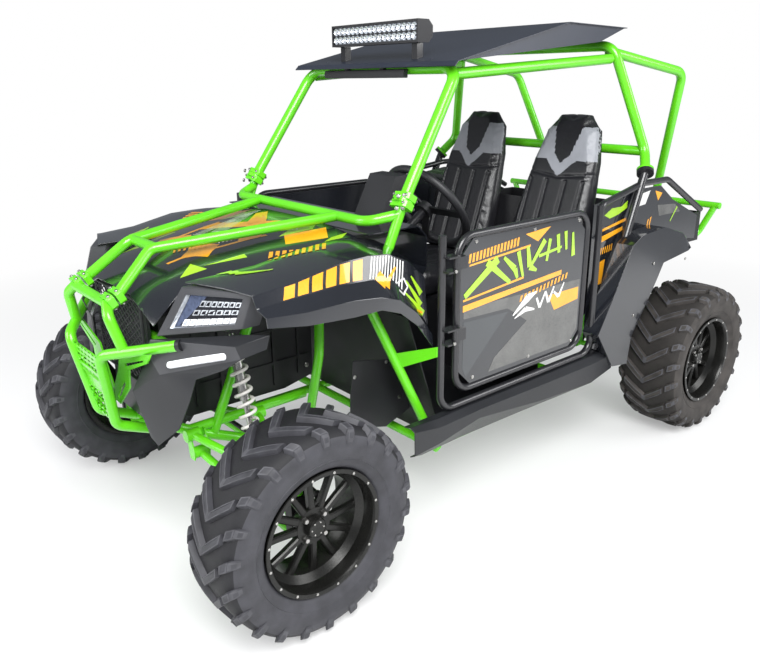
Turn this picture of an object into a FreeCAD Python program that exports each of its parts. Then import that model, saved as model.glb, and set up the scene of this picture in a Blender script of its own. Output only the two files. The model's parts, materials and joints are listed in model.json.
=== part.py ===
import FreeCAD, Part
import math
import os

V = FreeCAD.Vector

# Overall sizes, in millimetres. +X is forward, +Y is the vehicle's left, and the ground is z = 0.
overall_length = 2770.0
wheelbase = 2066.0
front_track = 1336.0
rear_track = 1398.0

# Running and seating gaps
seat_gap = 0.3
running_gap = 0.5
hinge_gap = 0.4
overrun = 5.0

# Tyres and rims
tyre_diameter = 660.0
front_tyre_width = 226.0
rear_tyre_width = 270.0
tyre_wall = 12.0
bead_radius = 180.0
lip_radius = 193.0
rim_wall = 6.0
rim_well_depth = 26.0
rim_flange = 9.0
front_lip_offset = 98.0
rear_lip_offset = 122.0
disc_depth = 62.0
disc_thickness = 12.0
hub_radius = 52.0
hub_cap_radius = 34.0
hub_cap_height = 26.0
spoke_count = 8
spoke_width = 30.0
spoke_inner_radius = 46.0

# Wheel hubs, spindles and uprights
spindle_radius = 15.0
hub_length = 46.0
upright_width = 64.0
upright_thickness = 34.0
kingpin_inset = 96.0
kingpin_half_height = 84.0
ball_radius = 17.0
ball_clearance = 6.0
steer_arm_reach = 92.0
steer_arm_thickness = 14.0
rear_carrier_width = 76.0
rear_carrier_height = 190.0
rear_carrier_thickness = 40.0

# Suspension arms, springs and shafts
arm_tube_radius = 13.0
arm_bush_radius = 20.0
arm_bush_length = 46.0
front_arm_spread = 150.0
upper_arm_spread = 118.0
upper_arm_root_z = 470.0
rear_arm_spread = 120.0
shock_radius = 16.0
spring_radius = 30.0
spring_wire = 5.5
spring_pitch = 34.0
shock_foot_share = 0.56
shock_seat_share = 0.24
shock_cup_height = 9.0
shock_rod_radius = 9.0
shock_top_y = 300.0
shock_eye_radius = 17.0
rear_shock_foot_y = 500.0
shock_bar_radius = 10.0
stub_radius = 9.0
half_shaft_radius = 13.0
boot_radius = 34.0
boot_length = 70.0
tie_rod_radius = 8.0
tie_ball_radius = 13.0
tie_stud_radius = 6.0
rack_half_length = 170.0
rack_setback = 128.0

# Lower frame
frame_tube_radius = 17.0
strut_radius = 13.0
rail_y = 185.0
rail_z = 286.0
frame_front_x = 1222.0
frame_back_x = -1215.0
tower_foot_x = 1100.0
top_rail_front_x = 1075.0
sill_tube_y = 520.0
sill_front_x = 390.0
cowl_foot_y = 550.0
frame_joint_front_x = 330.0
frame_joint_back_x = -560.0
sill_back_x = -500.0
tower_front_x = 950.0
tower_back_x = 700.0
tower_y = 300.0
tower_top_z = 862.0
tower_knee_x = 740.0
tower_knee_y = 345.0
tower_knee_z = 670.0
tower_bend = 60.0
rear_tower_x = -962.0
rear_frame_top_z = 800.0
bay_x = -700.0

# Hitch tongue
hitch_reach = 77.0
hitch_half_width = 38.0
hitch_thickness = 10.0
hitch_hole_radius = 10.5
hitch_hole_inset = 25.0

# Engine and rear drive
engine_length = 285.0
engine_width = 330.0
engine_height = 350.0
engine_x = -785.0
drive_case_radius = 92.0
drive_case_width = 190.0

# Roll cage
cage_tube_radius = 20.0
cage_bend = 70.0
clamp_x = 462.0
clamp_y = 454.0
clamp_z = 1161.0
pillar_top_x = 186.0
pillar_top_y = 416.0
pillar_top_z = 1567.0
rail_back_x = -684.0
rail_back_z = 1605.0
rear_top_x = -700.0
rear_top_y = 420.0
rear_top_z = 1655.0
rear_bend_x = -800.0
rear_bend_y = 547.0
rear_bend_z = 1242.0
rear_clamp_x = -742.0
rear_clamp_y = 592.0
rear_clamp_z = 1168.0
brace_bend_x = -1186.0
brace_bend_y = 468.0
brace_bend_z = 1554.0
brace_foot_y = 300.0
brace_foot_lead = 8.0
clamp_plate = 10.0
clamp_plate_radius = 34.0

# Hood hoop and windshield base bar
cowl_bar_x = 574.0
cowl_bar_y = 399.0
cowl_bar_z = 1097.0
cowl_bar_share = 0.13
hoop_root_y = 245.0
hoop_front_x = 1164.0
hoop_front_y = 82.0
hoop_front_z = 1046.0
hoop_tube_radius = 17.0
guard_clamp_x = 1298.0
guard_clamp_y = 132.0
guard_clamp_z = 936.0

# Front guard
guard_tube_radius = 16.5
guard_bend = 45.0
guard_corner_rounding = 3.96
guard_knee_y = 170.0
guard_knee_z = 890.0
guard_bar_z = 765.0
guard_side_x = 1225.0
guard_side_y = 352.0
guard_side_z = 822.0
guard_low_y = 72.0
guard_low_z = 506.0
guard_foot_x = 1200.0
guard_foot_z = 450.0

# Tail bar and rear rack
tail_tube_radius = 15.0
tail_bar_y = 629.0
tail_bar_z = 960.0
tail_leg_z = 800.0
tail_leg_inset = 46.0
tail_bend = 50.0

# Roof
roof_wall = 3.0
roof_half_width = 458.0
roof_front_x = 246.0
roof_front_z = 1588.0
roof_fold_x = -355.0
roof_fold_z = 1728.0
roof_back_x = -730.0
roof_back_z = 1722.0
roof_lip = 16.0
roof_flange_inset = 8.0
roof_pad_y = 300.0
roof_pad_radius = 14.0

# Light bar
lamp_bar_width = 490.0
lamp_bar_height = 76.0
lamp_bar_depth = 72.0
lamp_bar_x = 176.0
lamp_bar_base_z = 1652.0
lamp_bracket_y = 205.0
lamp_bracket_width = 28.0

# Body panels
panel_wall = 4.0
hood_back_x = 640.0
hood_front_x = 1215.0
hood_back_half = 400.0
hood_front_half = 250.0
hood_back_z = 1058.0
hood_front_z = 968.0
fender_back_x = 480.0
fender_front_x = 1052.0
fender_outer_y = 628.0
fender_lip_z = 892.0
fender_lip_height = 26.0
nose_x = 1262.0
nose_low_z = 560.0
nose_wing_x = 1085.0
nose_wing_y = 560.0
nose_wing_low_z = 600.0
grille_half = 205.0
grille_low_z = 640.0
grille_top_z = 940.0
grille_thickness = 6.0
lamp_inner_x = 1262.0
lamp_inner_y = 318.0
lamp_outer_x = 1096.0
lamp_outer_y = 548.0
lamp_low_z = 858.0
lamp_top_z = 990.0
lamp_thickness = 40.0

# Tub, sills and floor
tub_half = 545.0
tub_wall = 4.0
toe_top_x = 530.0
toe_top_z = 800.0
toe_low_x = 360.0
seat_step_x = -170.0
seat_shelf_z = 600.0
seat_shelf_back_x = -600.0
bulkhead_top_x = -668.0
bulkhead_top_z = 1010.0
rocker_y = 666.0
rocker_inner_y = 572.0
rocker_front_x = 600.0
rocker_back_x = -530.0
rocker_low_z = 300.0

# Doors
door_tube_radius = 12.5
door_y = 622.0
door_front_x = 384.0
door_back_x = -318.0
door_low_z = 524.0
door_top_z = 1056.0
door_corner = 70.0
door_panel_thickness = 6.0
hinge_x = 418.0
hinge_out = 30.0
hinge_barrel_radius = 9.0
hinge_barrel_length = 40.0
hinge_pin_radius = 5.0
hinge_ear = 6.0
hinge_low_z = 720.0
hinge_high_z = 960.0

# Seats
seat_centre_y = 262.0
seat_width = 452.0
cushion_front_x = -90.0
cushion_back_x = -560.0
cushion_base_z = 604.0
cushion_height = 135.0
back_foot_x = -470.0
back_top_x = -700.0
back_top_z = 1398.0
back_thickness = 110.0

# Dash and controls
dash_front_x = 600.0
dash_back_x = 350.0
dash_low_z = 800.0
dash_top_z = 1068.0
dash_half = 445.0
steer_x = 175.0
steer_z = 1085.0
steer_ring_radius = 175.0
steer_grip_radius = 15.0
steer_tilt_deg = 35.0
column_radius = 16.0
mirror_width = 330.0
mirror_height = 62.0
mirror_depth = 22.0

# Cargo bed and rear body
bed_front_x = -860.0
bed_back_x = -1308.0
bed_floor_z = 836.0
bed_low_z = 800.0
bed_top_z = 935.0
bed_wall = 5.0
side_y = 588.0
side_low_z = 498.0
side_top_z = 1105.0
side_front_x = -425.0
side_back_x = -1265.0
rear_fender_y = 686.0
rear_fender_front_x = -445.0
rear_fender_back_x = -1043.0
rear_fender_low_z = 498.0
rear_fender_top_z = 911.0

# Frame tubes painted black round the doors and the rear body
side_tube_radius = 13.0
leg_tube_radius = 17.0
side_bend = 60.0
surround_front_x = 452.0
surround_back_x = -398.0
surround_low_z = 474.0
surround_top_z = 1070.0
leg_foot_x = -423.0
leg_foot_y = 622.0
leg_foot_z = 492.0
rail_tail_x = -935.0
rail_tail_z = 1118.0
rail_end_x = -1262.0
rail_end_z = 952.0
cowl_leg_knee_x = 610.0
cowl_leg_knee_y = 452.0
cowl_leg_knee_z = 830.0
gusset_low_share = 0.59
gusset_high_share = 0.69
gusset_wall = 5.0
gusset_low_z = 671.0
gusset_high_z = 706.0

# Values that the guard, tail, lamps and mouldings share
weld_step = 1.0
lower_arm_root_z = rail_z
arm_root_y = rail_y + frame_tube_radius + arm_bush_radius + seat_gap
rail_high_z = upper_arm_root_z
floor_z = rail_z + frame_tube_radius + seat_gap
rocker_top_z = surround_low_z - side_tube_radius - seat_gap
engine_base_z = rail_z + frame_tube_radius - weld_step + seat_gap
shock_top_z = tower_top_z - frame_tube_radius - shock_eye_radius - seat_gap
rear_rail_z = rear_frame_top_z - frame_tube_radius
rear_rail_y = shock_top_y - frame_tube_radius
rear_shock_top_z = rear_rail_z - frame_tube_radius - shock_eye_radius - seat_gap
side_face_y = side_y - side_tube_radius - seat_gap
bed_half = side_face_y - panel_wall - seat_gap

guard_front_x = overall_length / 2 - guard_tube_radius + guard_corner_rounding
tail_x = tail_tube_radius - overall_length / 2
guard_corner_y = 130.0
guard_low_x = 1330.0
guard_knee_x = 1289.0
guard_land_x = 1322.0
guard_land_y = 200.0
guard_land_z = 783.0
roof_flange_drop = 60.0
hood_drop = 60.0
nose_top_low_z = 845.0
nose_mid_z = 790.0
nose_low_x = 1235.0
nose_wing_low_x = 1150.0
nose_wing_low_y = 450.0
nose_wall = 30.0
nose_bar_z = 790.0
nose_tab_reach = 50.0
nose_tab_height = 30.0
lamp_inner_top_x = 1198.0
lamp_lean = 32.0
dash_rise = 120.0
dash_step = 40.0
fender_gap = 3.0



def unit(v):
    return v * (1.0 / v.Length)


def mirrored(shape):
    return shape.mirror(V(0, 0, 0), V(0, 1, 0))


def both(shape):
    """The left piece and its mirror image, as two solids that share a node."""
    return Part.makeCompound([shape, mirrored(shape)])


def joined(shapes):
    """Several touching solids fused into one."""
    body = shapes[0].multiFuse(shapes[1:])
    return body.removeSplitter()


def export(shape, name):
    shape.exportStep("parts/" + name + ".step")


def bent_path(points, bend):
    """Straight runs joined by tangent arcs."""
    edges = []
    start = points[0]
    for before, corner, after in zip(points, points[1:], points[2:]):
        back = unit(before - corner)
        ahead = unit(after - corner)
        turn = math.pi - back.getAngle(ahead)
        shorter = min((before - corner).Length, (after - corner).Length)
        radius = min(bend, 0.45 * shorter / math.tan(turn / 2))
        trim = radius * math.tan(turn / 2)
        bulge = radius / math.cos(turn / 2) - radius
        arc_start = corner + back * trim
        arc_end = corner + ahead * trim
        arc_middle = corner + unit(back + ahead) * bulge
        edges.append(Part.LineSegment(start, arc_start).toShape())
        edges.append(Part.Arc(arc_start, arc_middle, arc_end).toShape())
        start = arc_end
    edges.append(Part.LineSegment(start, points[-1]).toShape())
    return Part.Wire(edges)


def tube(points, radius, bend):
    """A solid round bar along a bent path."""
    if len(points) == 2:
        return rod(points[0], points[1], radius)
    ring = Part.Wire(Part.makeCircle(radius, points[0], points[1] - points[0]))
    return bent_path(points, bend).makePipeShell([ring], True, False)


def rod(start, end, radius):
    return Part.makeCylinder(radius, (end - start).Length, start, end - start)


def block(x0, x1, y0, y1, z0, z1):
    """A box between two corners."""
    corner = V(min(x0, x1), min(y0, y1), min(z0, z1))
    return Part.makeBox(abs(x1 - x0), abs(y1 - y0), abs(z1 - z0), corner)


def face_of(points):
    return Part.Face(Part.makePolygon(points + [points[0]]))


def side_plate(outline, y, thickness):
    """A plate in the XZ plane, grown inboard from its outer face at y."""
    plate = face_of([V(x, y, z) for x, z in outline])
    return plate.extrude(V(0, -thickness, 0))


def shared_outline(front_x, back_x, low_z, top_z, shares):
    """An outline given as shares of a box, 0 to 1 from back to front and from low to top."""
    return [(back_x + sx * (front_x - back_x), low_z + sz * (top_z - low_z)) for sx, sz in shares]


def prism(front, back):
    """A solid between two point loops of equal length, with every face in flat triangles."""
    faces = []
    count = len(front)
    for loop in (front, back):
        for i in range(1, count - 1):
            faces.append(face_of([loop[0], loop[i], loop[i + 1]]))
    for i in range(count):
        j = (i + 1) % count
        faces.append(face_of([front[i], front[j], back[j]]))
        faces.append(face_of([front[i], back[j], back[i]]))
    return Part.Solid(Part.Shell(faces))


def revolved(profile):
    """A solid of revolution about the Y axis; the profile holds (y, radius) points."""
    return face_of([V(r, y, 0) for y, r in profile]).revolve(V(0, 0, 0), V(0, 1, 0), 360)


def offset_line(points, wall):
    """The polyline moved to its right side by the wall, mitred at its corners."""
    moved = []
    last = len(points) - 1
    for i, (a, b) in enumerate(points):
        before = points[max(i - 1, 0)]
        after = points[min(i + 1, last)]
        normals = []
        for p, q in ((before, (a, b)), ((a, b), after)):
            run = math.hypot(q[0] - p[0], q[1] - p[1])
            if run > 0:
                normals.append(((q[1] - p[1]) / run, -(q[0] - p[0]) / run))
        nx = sum(n[0] for n in normals) / len(normals)
        ny = sum(n[1] for n in normals) / len(normals)
        size = nx * nx + ny * ny
        moved.append((a + nx / size * wall, b + ny / size * wall))
    return moved


def bent_sheet(points, wall, half_width):
    """A sheet folded along Y, from its XZ polyline."""
    ring = points + list(reversed(offset_line(points, wall)))
    return face_of([V(x, -half_width, z) for x, z in ring]).extrude(V(0, 2 * half_width, 0))


def shell_loft(stations, wall):
    """A thin panel through YZ polylines at several x stations."""
    wires = []
    for x, points in stations:
        ring = points + list(reversed(offset_line(points, wall)))
        ring.append(ring[0])
        wires.append(Part.makePolygon([V(x, y, z) for y, z in ring]))
    return Part.makeLoft(wires, True, True)


# Tyres and rims, made at the origin with the outer face towards +Y

tyre_shares = [(0.97, 0.34), (1.0, 0.52), (0.985, 0.72), (0.90, 0.89), (0.76, 0.97), (0.40, 1.0)]


def tyre(width, offset):
    """A hollow tyre out to the tips of its lugs, open at its beads."""
    height = tyre_diameter / 2 - bead_radius
    bead_y = offset - rim_flange - seat_gap
    outer = [(bead_y, bead_radius), (bead_y, lip_radius + seat_gap)]
    outer += [(share_y * width / 2, bead_radius + share_r * height) for share_y, share_r in tyre_shares]
    inner = [(bead_y - 2 * tyre_wall, bead_radius), (bead_y - 2 * tyre_wall, lip_radius)]
    inner += [(y - tyre_wall, r - tyre_wall) for y, r in outer[3:-2]]
    inner.append((outer[-1][0], tyre_diameter / 2 - 2 * tyre_wall))
    ring = inner[::-1] + outer
    mirror_ring = [(-y, r) for y, r in ring[::-1]]
    return revolved(ring + mirror_ring)


def rim_barrel(offset):
    """The rim's barrel with its two flanges, its drop centre inboard and its deep dish outboard."""
    seat = bead_radius - seat_gap
    well = seat - rim_well_depth
    well_out = offset - disc_depth + rim_wall
    seat_out = well_out + rim_well_depth / 2
    outer = [
        (-offset, lip_radius), (-offset + rim_flange, lip_radius), (-offset + rim_flange, seat),
        (-offset / 2, seat), (-offset / 3, well), (well_out, well), (seat_out, seat),
        (offset - rim_flange, seat), (offset - rim_flange, lip_radius), (offset, lip_radius),
    ]
    inner = [
        (offset, seat), (seat_out + rim_wall / 2, seat - rim_wall), (well_out + rim_wall / 2, well - rim_wall),
        (-offset / 3 - rim_wall / 2, well - rim_wall), (-offset / 2 - rim_wall / 2, seat - rim_wall), (-offset, seat),
    ]
    return revolved(outer + inner)


def rim(offset):
    """Barrel, spoked disc and hub with its cap, bored for the spindle."""
    face_y = offset - disc_depth
    well = bead_radius - seat_gap - rim_well_depth
    disc = Part.makeCylinder(hub_radius, disc_thickness, V(0, face_y - disc_thickness, 0), V(0, 1, 0))
    pieces = [rim_barrel(offset), disc]
    for i in range(spoke_count):
        spoke = block(
            -spoke_width / 2, spoke_width / 2, face_y - disc_thickness, face_y, spoke_inner_radius,
            well - rim_wall / 2,
        )
        pieces.append(spoke.rotate(V(0, 0, 0), V(0, 1, 0), 360.0 * i / spoke_count))
    hub = Part.makeCylinder(
        hub_cap_radius, disc_thickness + hub_length, V(0, face_y - disc_thickness - hub_length, 0), V(0, 1, 0)
    )
    cap = Part.makeCone(hub_cap_radius, hub_cap_radius - disc_thickness, hub_cap_height, V(0, face_y, 0), V(0, 1, 0))
    body = joined(pieces + [hub, cap])
    bore = Part.makeCylinder(
        spindle_radius + running_gap, hub_length + disc_thickness,
        V(0, face_y - disc_thickness - hub_length - overrun, 0), V(0, 1, 0)
    )
    return body.cut(bore)


def hub_inner_y(half_track, offset):
    """Where the hub's inner end lies across the vehicle."""
    return half_track + offset - disc_depth - disc_thickness - hub_length


def wheels():
    for end, x, track, width, offset in (
        ("front", wheelbase / 2, front_track, front_tyre_width, front_lip_offset),
        ("rear", -wheelbase / 2, rear_track, rear_tyre_width, rear_lip_offset),
    ):
        place = V(x, track / 2, tyre_diameter / 2)
        for kind, shape in (("tyre", tyre(width, offset)), ("rim", rim(offset))):
            shape.translate(place)
            export(shape, kind + "_" + end + "_left")
            export(mirrored(shape), kind + "_" + end + "_right")


# Uprights and suspension

axle_z = tyre_diameter / 2
front_x = wheelbase / 2
rear_x = -wheelbase / 2
ball_high_z = axle_z + kingpin_half_height
ball_low_z = axle_z - kingpin_half_height


def knuckle():
    """A steering knuckle: upright, spindle and steering arm."""
    hub_y = hub_inner_y(front_track / 2, front_lip_offset)
    half = upright_width / 2
    post = block(
        front_x - half, front_x + half, hub_y - upright_thickness - running_gap, hub_y - running_gap,
        ball_low_z + ball_radius + ball_clearance, ball_high_z - ball_radius - ball_clearance,
    )
    spindle = rod(
        V(front_x, hub_y - upright_thickness / 2, axle_z), V(front_x, hub_y + hub_length - overrun, axle_z),
        spindle_radius,
    )
    arm = block(
        front_x - steer_arm_reach, front_x, hub_y - upright_thickness - running_gap,
        hub_y - running_gap - steer_arm_thickness, axle_z - steer_arm_thickness, axle_z + steer_arm_thickness,
    )
    stub = rod(
        V(front_x, kingpin_line_y(), ball_low_z + ball_radius + running_gap),
        V(front_x, kingpin_line_y(), ball_high_z - ball_radius - running_gap), stub_radius,
    )
    return joined([post, spindle, arm, stub])


def front_arm(root_z, ball_z, spread, bar):
    """A suspension arm: two tubes that meet at the ball joint, with a bush at each root."""
    ball = V(front_x, kingpin_line_y(), ball_z)
    housing = Part.makeCylinder(ball_radius, 2 * ball_radius, ball - V(0, 0, ball_radius))
    pieces = [housing]
    seats = []
    for side in (-1, 1):
        root = V(front_x + side * spread, arm_root_y, root_z)
        half = V(arm_bush_length / 2, 0, 0)
        seats.append(root + (ball - root) * shock_foot_share)
        pieces.append(rod(root, ball, arm_tube_radius))
        pieces.append(rod(root - half, root + half, arm_bush_radius))
    if bar:
        pieces.append(rod(seats[0], seats[1], shock_bar_radius))
    arm = joined(pieces)
    top = ball_z + ball_radius
    return arm.cut(block(
        front_x - upright_width, front_x + upright_width, ball.y - upright_thickness, ball.y + upright_thickness,
        top, top + ball_clearance,
    )) if bar else arm


def spring_seats(foot, top):
    """Where the spring's lower cup ends and its upper cup starts, along the damper."""
    run = unit(top - foot)
    low = foot + (top - foot) * shock_seat_share
    high = top - run * (shock_eye_radius * 2 + shock_cup_height)
    return low, high, run


def shock(foot, top, foot_half):
    """A damper with its rod, body and eyes, and a cup at each end of the spring."""
    low, high, run = spring_seats(foot, top)
    across = V(shock_eye_radius, 0, 0)
    wide = V(foot_half, 0, 0)
    cup = run * shock_cup_height
    pieces = [
        rod(foot, high + cup * 2, shock_rod_radius), rod((low + high) * 0.5, high + cup / 2, shock_radius),
        rod(low - cup, low, spring_radius), rod(high, high + cup, spring_radius),
        rod(foot - wide, foot + wide, shock_eye_radius), rod(top - across, top + across, shock_eye_radius),
    ]
    return joined(pieces)


def spring(foot, top):
    """A coil spring round the damper."""
    low, high, run = spring_seats(foot, top)
    margin = spring_wire + seat_gap
    length = (high - low).Length - 2 * margin
    turns = round(length / spring_pitch)
    helix = Part.makeHelix(length / turns, length, spring_radius - spring_wire)
    ring = Part.Wire(Part.makeCircle(spring_wire, V(spring_radius - spring_wire, 0, 0), V(0, 1, 0)))
    coil = Part.Wire(helix).makePipeShell([ring], True, True)
    coil.Placement = FreeCAD.Placement(low + run * margin, FreeCAD.Rotation(V(0, 0, 1), run))
    return coil


def carrier():
    """The fixed rear upright that carries a rear wheel's spindle."""
    hub_y = hub_inner_y(rear_track / 2, rear_lip_offset)
    half = rear_carrier_width / 2
    post = block(
        rear_x - half, rear_x + half, hub_y - rear_carrier_thickness - running_gap, hub_y - running_gap,
        axle_z - rear_carrier_height / 2, axle_z + rear_carrier_height / 2,
    )
    spindle = rod(
        V(rear_x, hub_y - rear_carrier_thickness / 2, axle_z), V(rear_x, hub_y + hub_length - overrun, axle_z),
        spindle_radius,
    )
    return joined([post, spindle])


def rear_arm(root_z, end_z):
    """A rear suspension arm: two tubes that spread towards the frame, joined to the carrier's side."""
    end_y = hub_inner_y(rear_track / 2, rear_lip_offset) - running_gap - rear_carrier_thickness - seat_gap
    end = V(rear_x, end_y - arm_bush_radius, end_z)
    half = V(arm_bush_length / 2, 0, 0)
    pieces = [rod(end - half, end + half, arm_bush_radius)]
    for side in (-1, 1):
        root = V(rear_x + side * rear_arm_spread, arm_root_y, root_z)
        pieces.append(rod(root, end, arm_tube_radius))
        pieces.append(rod(root - half, root + half, arm_bush_radius))
    return joined(pieces)


def half_shaft():
    """A drive shaft with a boot at each end, from the drive case to the rear carrier."""
    end_y = hub_inner_y(rear_track / 2, rear_lip_offset) - running_gap - rear_carrier_thickness - seat_gap
    start = V(rear_x, drive_case_width / 2 + seat_gap, axle_z)
    end = V(rear_x, end_y, axle_z)
    run = V(0, boot_length, 0)
    boot_in = Part.makeCone(boot_radius, half_shaft_radius, boot_length, start, V(0, 1, 0))
    boot_out = Part.makeCone(half_shaft_radius, boot_radius, boot_length, end - run, V(0, 1, 0))
    return joined([boot_in, rod(start, end, half_shaft_radius), boot_out])


def front_shock_line():
    root = V(front_x, arm_root_y, lower_arm_root_z)
    ball = V(front_x, kingpin_line_y(), ball_low_z)
    rise = shock_bar_radius + shock_eye_radius + seat_gap
    foot = root + (ball - root) * shock_foot_share + V(0, 0, rise)
    return foot, V(front_x, shock_top_y, shock_top_z), shock_eye_radius


def rear_shock_line():
    """The rear damper stands on the upper arm's two tubes and hangs from the top rail."""
    end_y = hub_inner_y(rear_track / 2, rear_lip_offset) - running_gap - rear_carrier_thickness - seat_gap
    share = (rear_shock_foot_y - arm_root_y) / (end_y - arm_bush_radius - arm_root_y)
    end_z = axle_z + rear_carrier_height / 2 - arm_bush_radius
    leg_z = upper_arm_root_z + share * (end_z - upper_arm_root_z)
    half = (1 - share) * rear_arm_spread + arm_tube_radius
    foot = V(rear_x, rear_shock_foot_y, leg_z + arm_tube_radius + shock_eye_radius + seat_gap)
    return foot, V(rear_x, rear_rail_y, rear_shock_top_z), half


def kingpin_line_y():
    return hub_inner_y(front_track / 2, front_lip_offset) - running_gap - upright_thickness / 2


def suspension():
    export(both(front_arm(lower_arm_root_z, ball_low_z, front_arm_spread, True)), "front_lower_arms")
    export(both(front_arm(upper_arm_root_z, ball_high_z, upper_arm_spread, False)), "front_upper_arms")
    lines = (front_shock_line(), rear_shock_line())
    export(Part.makeCompound([both(shock(*line)) for line in lines]), "dampers")
    export(Part.makeCompound([both(spring(line[0], line[1])) for line in lines]), "springs")
    export(both(carrier()), "rear_carriers")
    rise = rear_carrier_height / 2 - arm_bush_radius
    arms = [rear_arm(lower_arm_root_z, axle_z - rise), rear_arm(upper_arm_root_z, axle_z + rise)]
    export(Part.makeCompound([both(arm) for arm in arms]), "rear_arms")
    export(both(half_shaft()), "half_shafts")


def steering_rack():
    """The rack bar with its tie rods, each ending over a steering arm."""
    end_y = kingpin_line_y() - steer_arm_thickness / 2
    rack_x = front_x - rack_setback
    rod_z = axle_z + steer_arm_thickness + tie_rod_radius * 2 + hinge_gap
    tie_x = front_x - steer_arm_reach + tie_rod_radius * 2
    rack = rod(V(rack_x, -rack_half_length, rod_z), V(rack_x, rack_half_length, rod_z), tie_rod_radius)
    tie = rod(V(rack_x, rack_half_length, rod_z), V(tie_x, end_y, rod_z), tie_rod_radius)
    stud = rod(V(tie_x, end_y, axle_z + steer_arm_thickness + running_gap), V(tie_x, end_y, rod_z), tie_stud_radius)
    inner = Part.makeSphere(tie_ball_radius, V(rack_x, rack_half_length, rod_z))
    outer = Part.makeSphere(tie_ball_radius, V(tie_x, end_y, rod_z))
    end = joined([inner, tie, outer, stud])
    return joined([rack, end, mirrored(end)])


def column_axis():
    """The steering shaft's direction, up and back towards the driver."""
    tilt = math.radians(steer_tilt_deg)
    return V(-math.cos(tilt), 0, math.sin(tilt))


def steering_wheel():
    """Ring, hub and three spokes."""
    centre = V(0, 0, 0)
    ring = Part.makeTorus(steer_ring_radius, steer_grip_radius)
    hub = Part.makeCylinder(column_radius * 2, steer_grip_radius * 2, V(0, 0, -steer_grip_radius * 2))
    spokes = []
    for angle in (90, 210, 330):
        arm = block(0, steer_ring_radius, -steer_grip_radius, steer_grip_radius, -steer_grip_radius, -steer_grip_radius / 2)
        spokes.append(arm.rotate(centre, V(0, 0, 1), angle))
    wheel = joined([ring, hub] + spokes)
    wheel.Placement = FreeCAD.Placement(V(steer_x, seat_centre_y, steer_z), FreeCAD.Rotation(V(0, 0, 1), column_axis()))
    return wheel


def steering_column():
    start = V(steer_x, seat_centre_y, steer_z) - column_axis() * (steer_grip_radius * 2 + seat_gap)
    reach = (dash_back_x - start.x) / math.cos(math.radians(steer_tilt_deg))
    shaft = rod(start, start - column_axis() * (reach + column_radius), column_radius)
    return longest(shaft.cut(dashboard()))


# Frame

def lengthwise(y, z, start_x, end_x, radius):
    """A straight tube along the vehicle."""
    return rod(V(start_x, y, z), V(end_x, y, z), radius)


def crosswise(x, half, z, radius):
    """A straight tube across the vehicle."""
    return rod(V(x, -half, z), V(x, half, z), radius)


def front_frame():
    """The front rails and towers, the radiator support, and the cowl legs with their cage clamps."""
    r = frame_tube_radius
    thin = r - weld_step
    nose_bar_x = frame_front_x - r
    tubes = [
        crosswise(nose_bar_x, rail_y, rail_z, thin),
        crosswise(front_x - front_arm_spread - arm_bush_length, rail_y, rail_z, thin),
        crosswise(sill_front_x, cowl_foot_y, rail_z, thin),
        crosswise(tower_front_x, tower_y, tower_top_z, thin),
        crosswise(nose_bar_x, rail_y, nose_bar_z, strut_radius + weld_step),
    ]
    for side in (-1, 1):
        y = side * rail_y
        tubes += [
            lengthwise(y, rail_z, frame_joint_front_x, frame_front_x, r),
            lengthwise(y, rail_high_z, tower_back_x, frame_front_x, r),
            lengthwise(side * sill_tube_y, rail_z, frame_joint_front_x, sill_front_x, r),
            lengthwise(side * tower_y, tower_top_z, tower_back_x, top_rail_front_x, r),
            rod(V(nose_bar_x, y, rail_z), V(nose_bar_x, y, nose_bar_z), strut_radius),
            rod(V(tower_foot_x, y, rail_z), V(tower_front_x, side * tower_y, tower_top_z), thin),
            front_tower_leg(side),
            guard_post(side, nose_bar_x),
            radiator_tab(side, nose_bar_x),
            cowl_leg(side, 0),
            clamp_half(windshield_line(), side),
            rod(cowl_knee(side), V(tower_back_x, side * tower_y, tower_top_z), thin),
            cowl_gusset(side),
        ]
    return joined(tubes)


def front_tower_leg(side):
    """The bent tube behind the front wheel, from the lower rail out and up to the tower's top."""
    return tube(
        [
            V(tower_back_x, side * rail_y, rail_z), V(tower_knee_x, side * tower_knee_y, tower_knee_z),
            V(tower_back_x, side * tower_y, tower_top_z),
        ], frame_tube_radius - weld_step, tower_bend,
    )


def guard_post(side, x):
    """The short post under the guard's foot."""
    top = guard_foot_z - guard_tube_radius - seat_gap
    return rod(V(x, side * guard_low_y, rail_z), V(x, side * guard_low_y, top), frame_tube_radius - weld_step)


def radiator_tab(side, x):
    """The tab that carries the front fascia."""
    y = side * rail_y
    top = nose_bar_z - strut_radius
    return block(x, nose_x - nose_wall - seat_gap, y, y + side * nose_tab_reach, top - nose_tab_height, top)


def cowl_knee(side):
    return V(cowl_leg_knee_x, side * cowl_leg_knee_y, cowl_leg_knee_z)


def cowl_gusset(side):
    """The plate that reaches from the cowl leg out to the door surround."""
    foot = V(sill_front_x, side * cowl_foot_y, rail_z)
    knee = cowl_knee(side)
    low = foot + (knee - foot) * gusset_low_share
    high = foot + (knee - foot) * gusset_high_share
    tip = V(surround_front_x + side_tube_radius + seat_gap, side * door_y, gusset_high_z)
    tip_low = V(tip.x, tip.y, gusset_low_z)
    ring = [low, high, tip, tip_low]
    return prism(ring, [p + V(gusset_wall, 0, 0) for p in ring])


def floor_frame():
    """The rails and sills under the cabin floor, with a cross tube behind the seats."""
    r = frame_tube_radius
    back_x = frame_joint_back_x + seat_gap
    front = frame_joint_front_x - seat_gap
    tubes = [crosswise(sill_back_x, sill_tube_y, rail_z, r - weld_step), crosswise(0, sill_tube_y, rail_z, r - weld_step)]
    for side in (-1, 1):
        tubes.append(lengthwise(side * rail_y, rail_z, back_x, front, r))
        tubes.append(lengthwise(side * sill_tube_y, rail_z, sill_back_x, front, r))
    return joined(tubes)


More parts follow.
